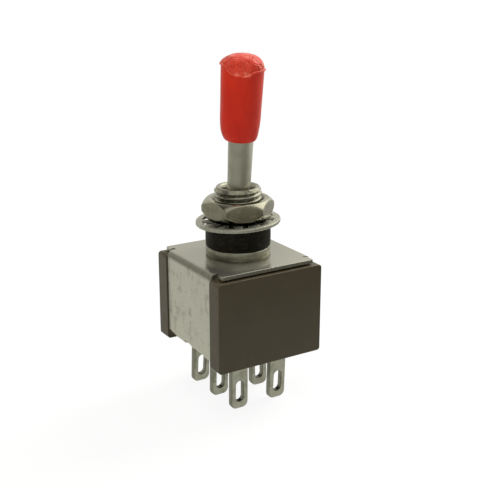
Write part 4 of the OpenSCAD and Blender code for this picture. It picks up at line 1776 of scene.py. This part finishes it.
@dataclass
class Studio:
    """Pale floor, white surround, soft lamps and the camera."""

    azimuth: float = -31.753
    elevation: float = 17.545
    distance: float = 120.0
    target: tuple[float, float, float] = (1.259, 0.0, 19.508)
    lens: float = 68.46
    sensor: float = 36.0
    ambient: float = 0.30
    lit: tuple[float, float, float] = (0, 0, 18)  # what the lamps are aimed at
    floor_half: float = 600.0
    floor_far: Span = (50, 160)  # where the floor's last trace of shading fades
    tent_r: float = 46.0
    tent_wall: float = 60.0
    tent_roof: float = 40.0
    lamps: tuple[Lamp, ...] = (
        Lamp("key", (230, 40, 230), 140, 1.10, (1.0, 0.995, 0.97)),
        Lamp("top", (-40, -20, 330), 220, 0.55, (1.0, 1.0, 0.98)),
        Lamp("fill", (-260, -60, 150), 200, 0.31, (1.0, 0.99, 0.96)),
    )

    @staticmethod
    def seen_white(shader: Shader) -> Value:
        """1 for rays from the camera, and for reflected and refracted ones, and 0 for the rest.

        Args:
            shader: the shader that the nodes are added to.

        Returns:
            The factor.
        """
        rays = ("Is Camera Ray", "Is Glossy Ray", "Is Transmission Ray")
        camera, glossy, clear = (shader.node("ShaderNodeLightPath", output=ray) for ray in rays)
        return camera.at_least(glossy).at_least(clear)

    def world(self) -> None:
        """A white surround where it is seen, and a softer one where it lights."""
        world = bpy.data.worlds.new("surround")
        world.use_nodes = True
        shader = Shader(world.node_tree)
        tint = (1.0, 0.99, 0.96)
        soft = shader.node("ShaderNodeBackground", inputs={"Color": tint, "Strength": self.ambient})
        white = shader.node("ShaderNodeBackground", inputs={"Color": (1.0, 1.0, 1.0), "Strength": 1.0})
        both = shader.node("ShaderNodeMixShader", inputs={0: self.seen_white(shader), 1: soft, 2: white})
        shader.node("ShaderNodeOutputWorld", inputs={"Surface": both})
        bpy.context.scene.world = world

    def pale(self, shader: Shader) -> Value:
        """The floor's surface: white where it is seen, but for a trace of the light on it.

        Args:
            shader: the shader that the nodes are added to.

        Returns:
            The surface.
        """
        matte = shader.node("ShaderNodeBsdfDiffuse", inputs={"Color": (0.82, 0.82, 0.80)})
        white = shader.node("ShaderNodeEmission", inputs={"Color": (1.0, 1.0, 1.0), "Strength": 1.0})
        x, y = shader.axis("X"), shader.axis("Y")
        far = ((x * x + y * y) ** 0.5).rise(*self.floor_far)
        factor = self.seen_white(shader) * (0.9 + far * 0.1)
        return shader.node("ShaderNodeMixShader", inputs={0: factor, 1: matte, 2: white})

    def floor(self) -> None:
        """A pale floor that keeps a trace of the shadow."""
        corners = np.array([(-1, -1, 0), (1, -1, 0), (1, 1, 0), (-1, 1, 0)]) * self.floor_half
        item = put_mesh("floor", corners, np.array([[0, 1, 2, 3]]))
        item.data.transform(shifted(-0.02))
        item.data.materials.append(coat("pale_floor", self.pale))

    @staticmethod
    def cloth(shader: Shader) -> Value:
        """The tent's glow.

        It is dark low down, and darkest ahead, where it is also warmer. It grows lighter with
        height and towards the back, dimmer again in the roof and on the left, and two bright
        boxes hang in it.

        Args:
            shader: the shader that the nodes are added to.

        Returns:
            The surface.
        """
        x, y, height = (shader.axis(name) for name in "XYZ")
        low, high = 1 - height.rise(10, 18), height.rise(15, 38)
        ahead = (x * 0.208 - y * 0.978).rise(34, 45) * low
        behind = (y * 0.906 - x * 0.42).rise(40, 46) * low
        left, right = (x * -1).rise(16, 42), x.rise(28, 44)
        box = (x * 0.72 + y * 0.2 + height * 0.5).rise(48, 62)
        second = (height * 0.6 - x * 0.5 - y * 0.62).rise(62, 72)
        table = 1 - height.rise(0.0, 0.05)
        level = 0.27 + height.rise(4, 22) * 0.24 + y.rise(5, 40) * high * 0.27 + behind * 0.5
        level = level * (1 - ahead * 0.8) * (1 - height.rise(58, 85) * 0.6)
        level = level - left * high * 0.34 + right * height.rise(8, 26) * 0.4
        level = level.at_least(0.08) + box * 0.7 + second * 0.5 + table * 0.38
        tint = shader.mix(ahead, (1.0, 0.99, 0.90), (1.0, 0.90, 0.66))
        return shader.node("ShaderNodeEmission", inputs={"Color": tint, "Strength": level})

    def tent(self) -> None:
        """A low ring of cloth on a table round the part, seen only in reflections."""
        arc = np.linspace(0, math.pi / 2, 10)
        roof = np.stack([self.tent_r * np.cos(arc), self.tent_wall + self.tent_roof * np.sin(arc)], -1)
        profile = np.vstack([[(0.0, -0.01), (self.tent_r, -0.01)], roof])
        item = put_grid("tent", revolved(profile, 96), False)
        item.data.materials.append(coat("tent_cloth", self.cloth))
        item.visible_camera = item.visible_diffuse = item.visible_shadow = item.visible_transmission = False

    def light(self, lamp: Lamp) -> None:
        """Hangs a lamp, aimed at the part's middle.

        Args:
            lamp: the lamp that is hung.
        """
        data = bpy.data.lights.new(lamp.name, "AREA")
        data.size, data.energy, data.color = lamp.size * MM, lamp.power, lamp.colour
        item = bpy.data.objects.new(lamp.name, data)
        item.location = Vector(lamp.place) * MM
        aim = Vector(self.lit) * MM - item.location
        item.rotation_euler = aim.to_track_quat("-Z", "Y").to_euler()
        bpy.context.scene.collection.objects.link(item)

    def camera(self) -> None:
        """The camera, at its angle and distance from the target."""
        a, e = math.radians(self.azimuth), math.radians(self.elevation)
        back = Vector((math.sin(a) * math.cos(e), -math.cos(a) * math.cos(e), math.sin(e)))
        data = bpy.data.cameras.new("camera")
        data.lens, data.sensor_width = self.lens, self.sensor
        data.clip_start, data.clip_end = 0.005, 5.0
        item = bpy.data.objects.new("camera", data)
        item.location = (Vector(self.target) + back * self.distance) * MM
        item.rotation_euler = (-back).to_track_quat("-Z", "Y").to_euler()
        bpy.context.scene.collection.objects.link(item)
        bpy.context.scene.camera = item

    def build(self) -> None:
        """Sets the whole studio up."""
        self.camera()
        self.world()
        self.floor()
        self.tent()
        for lamp in self.lamps:
            self.light(lamp)
        bpy.context.scene.view_settings.view_transform = "Standard"


def main() -> None:
    """Loads the frame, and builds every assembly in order."""
    logging.basicConfig(level=logging.INFO, format="%(name)s %(message)s")
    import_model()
    Studio().build()
    stack = (Housing(), Bushing(), SealingRing(), LockWasher(), HexNut(), Lever())
    for assembly in (*stack, LeverCap(), Terminals(), Mechanism()):
        assembly.build()
        LOG.info("%s built", type(assembly).__name__)


if __name__ == "__main__":
    main()
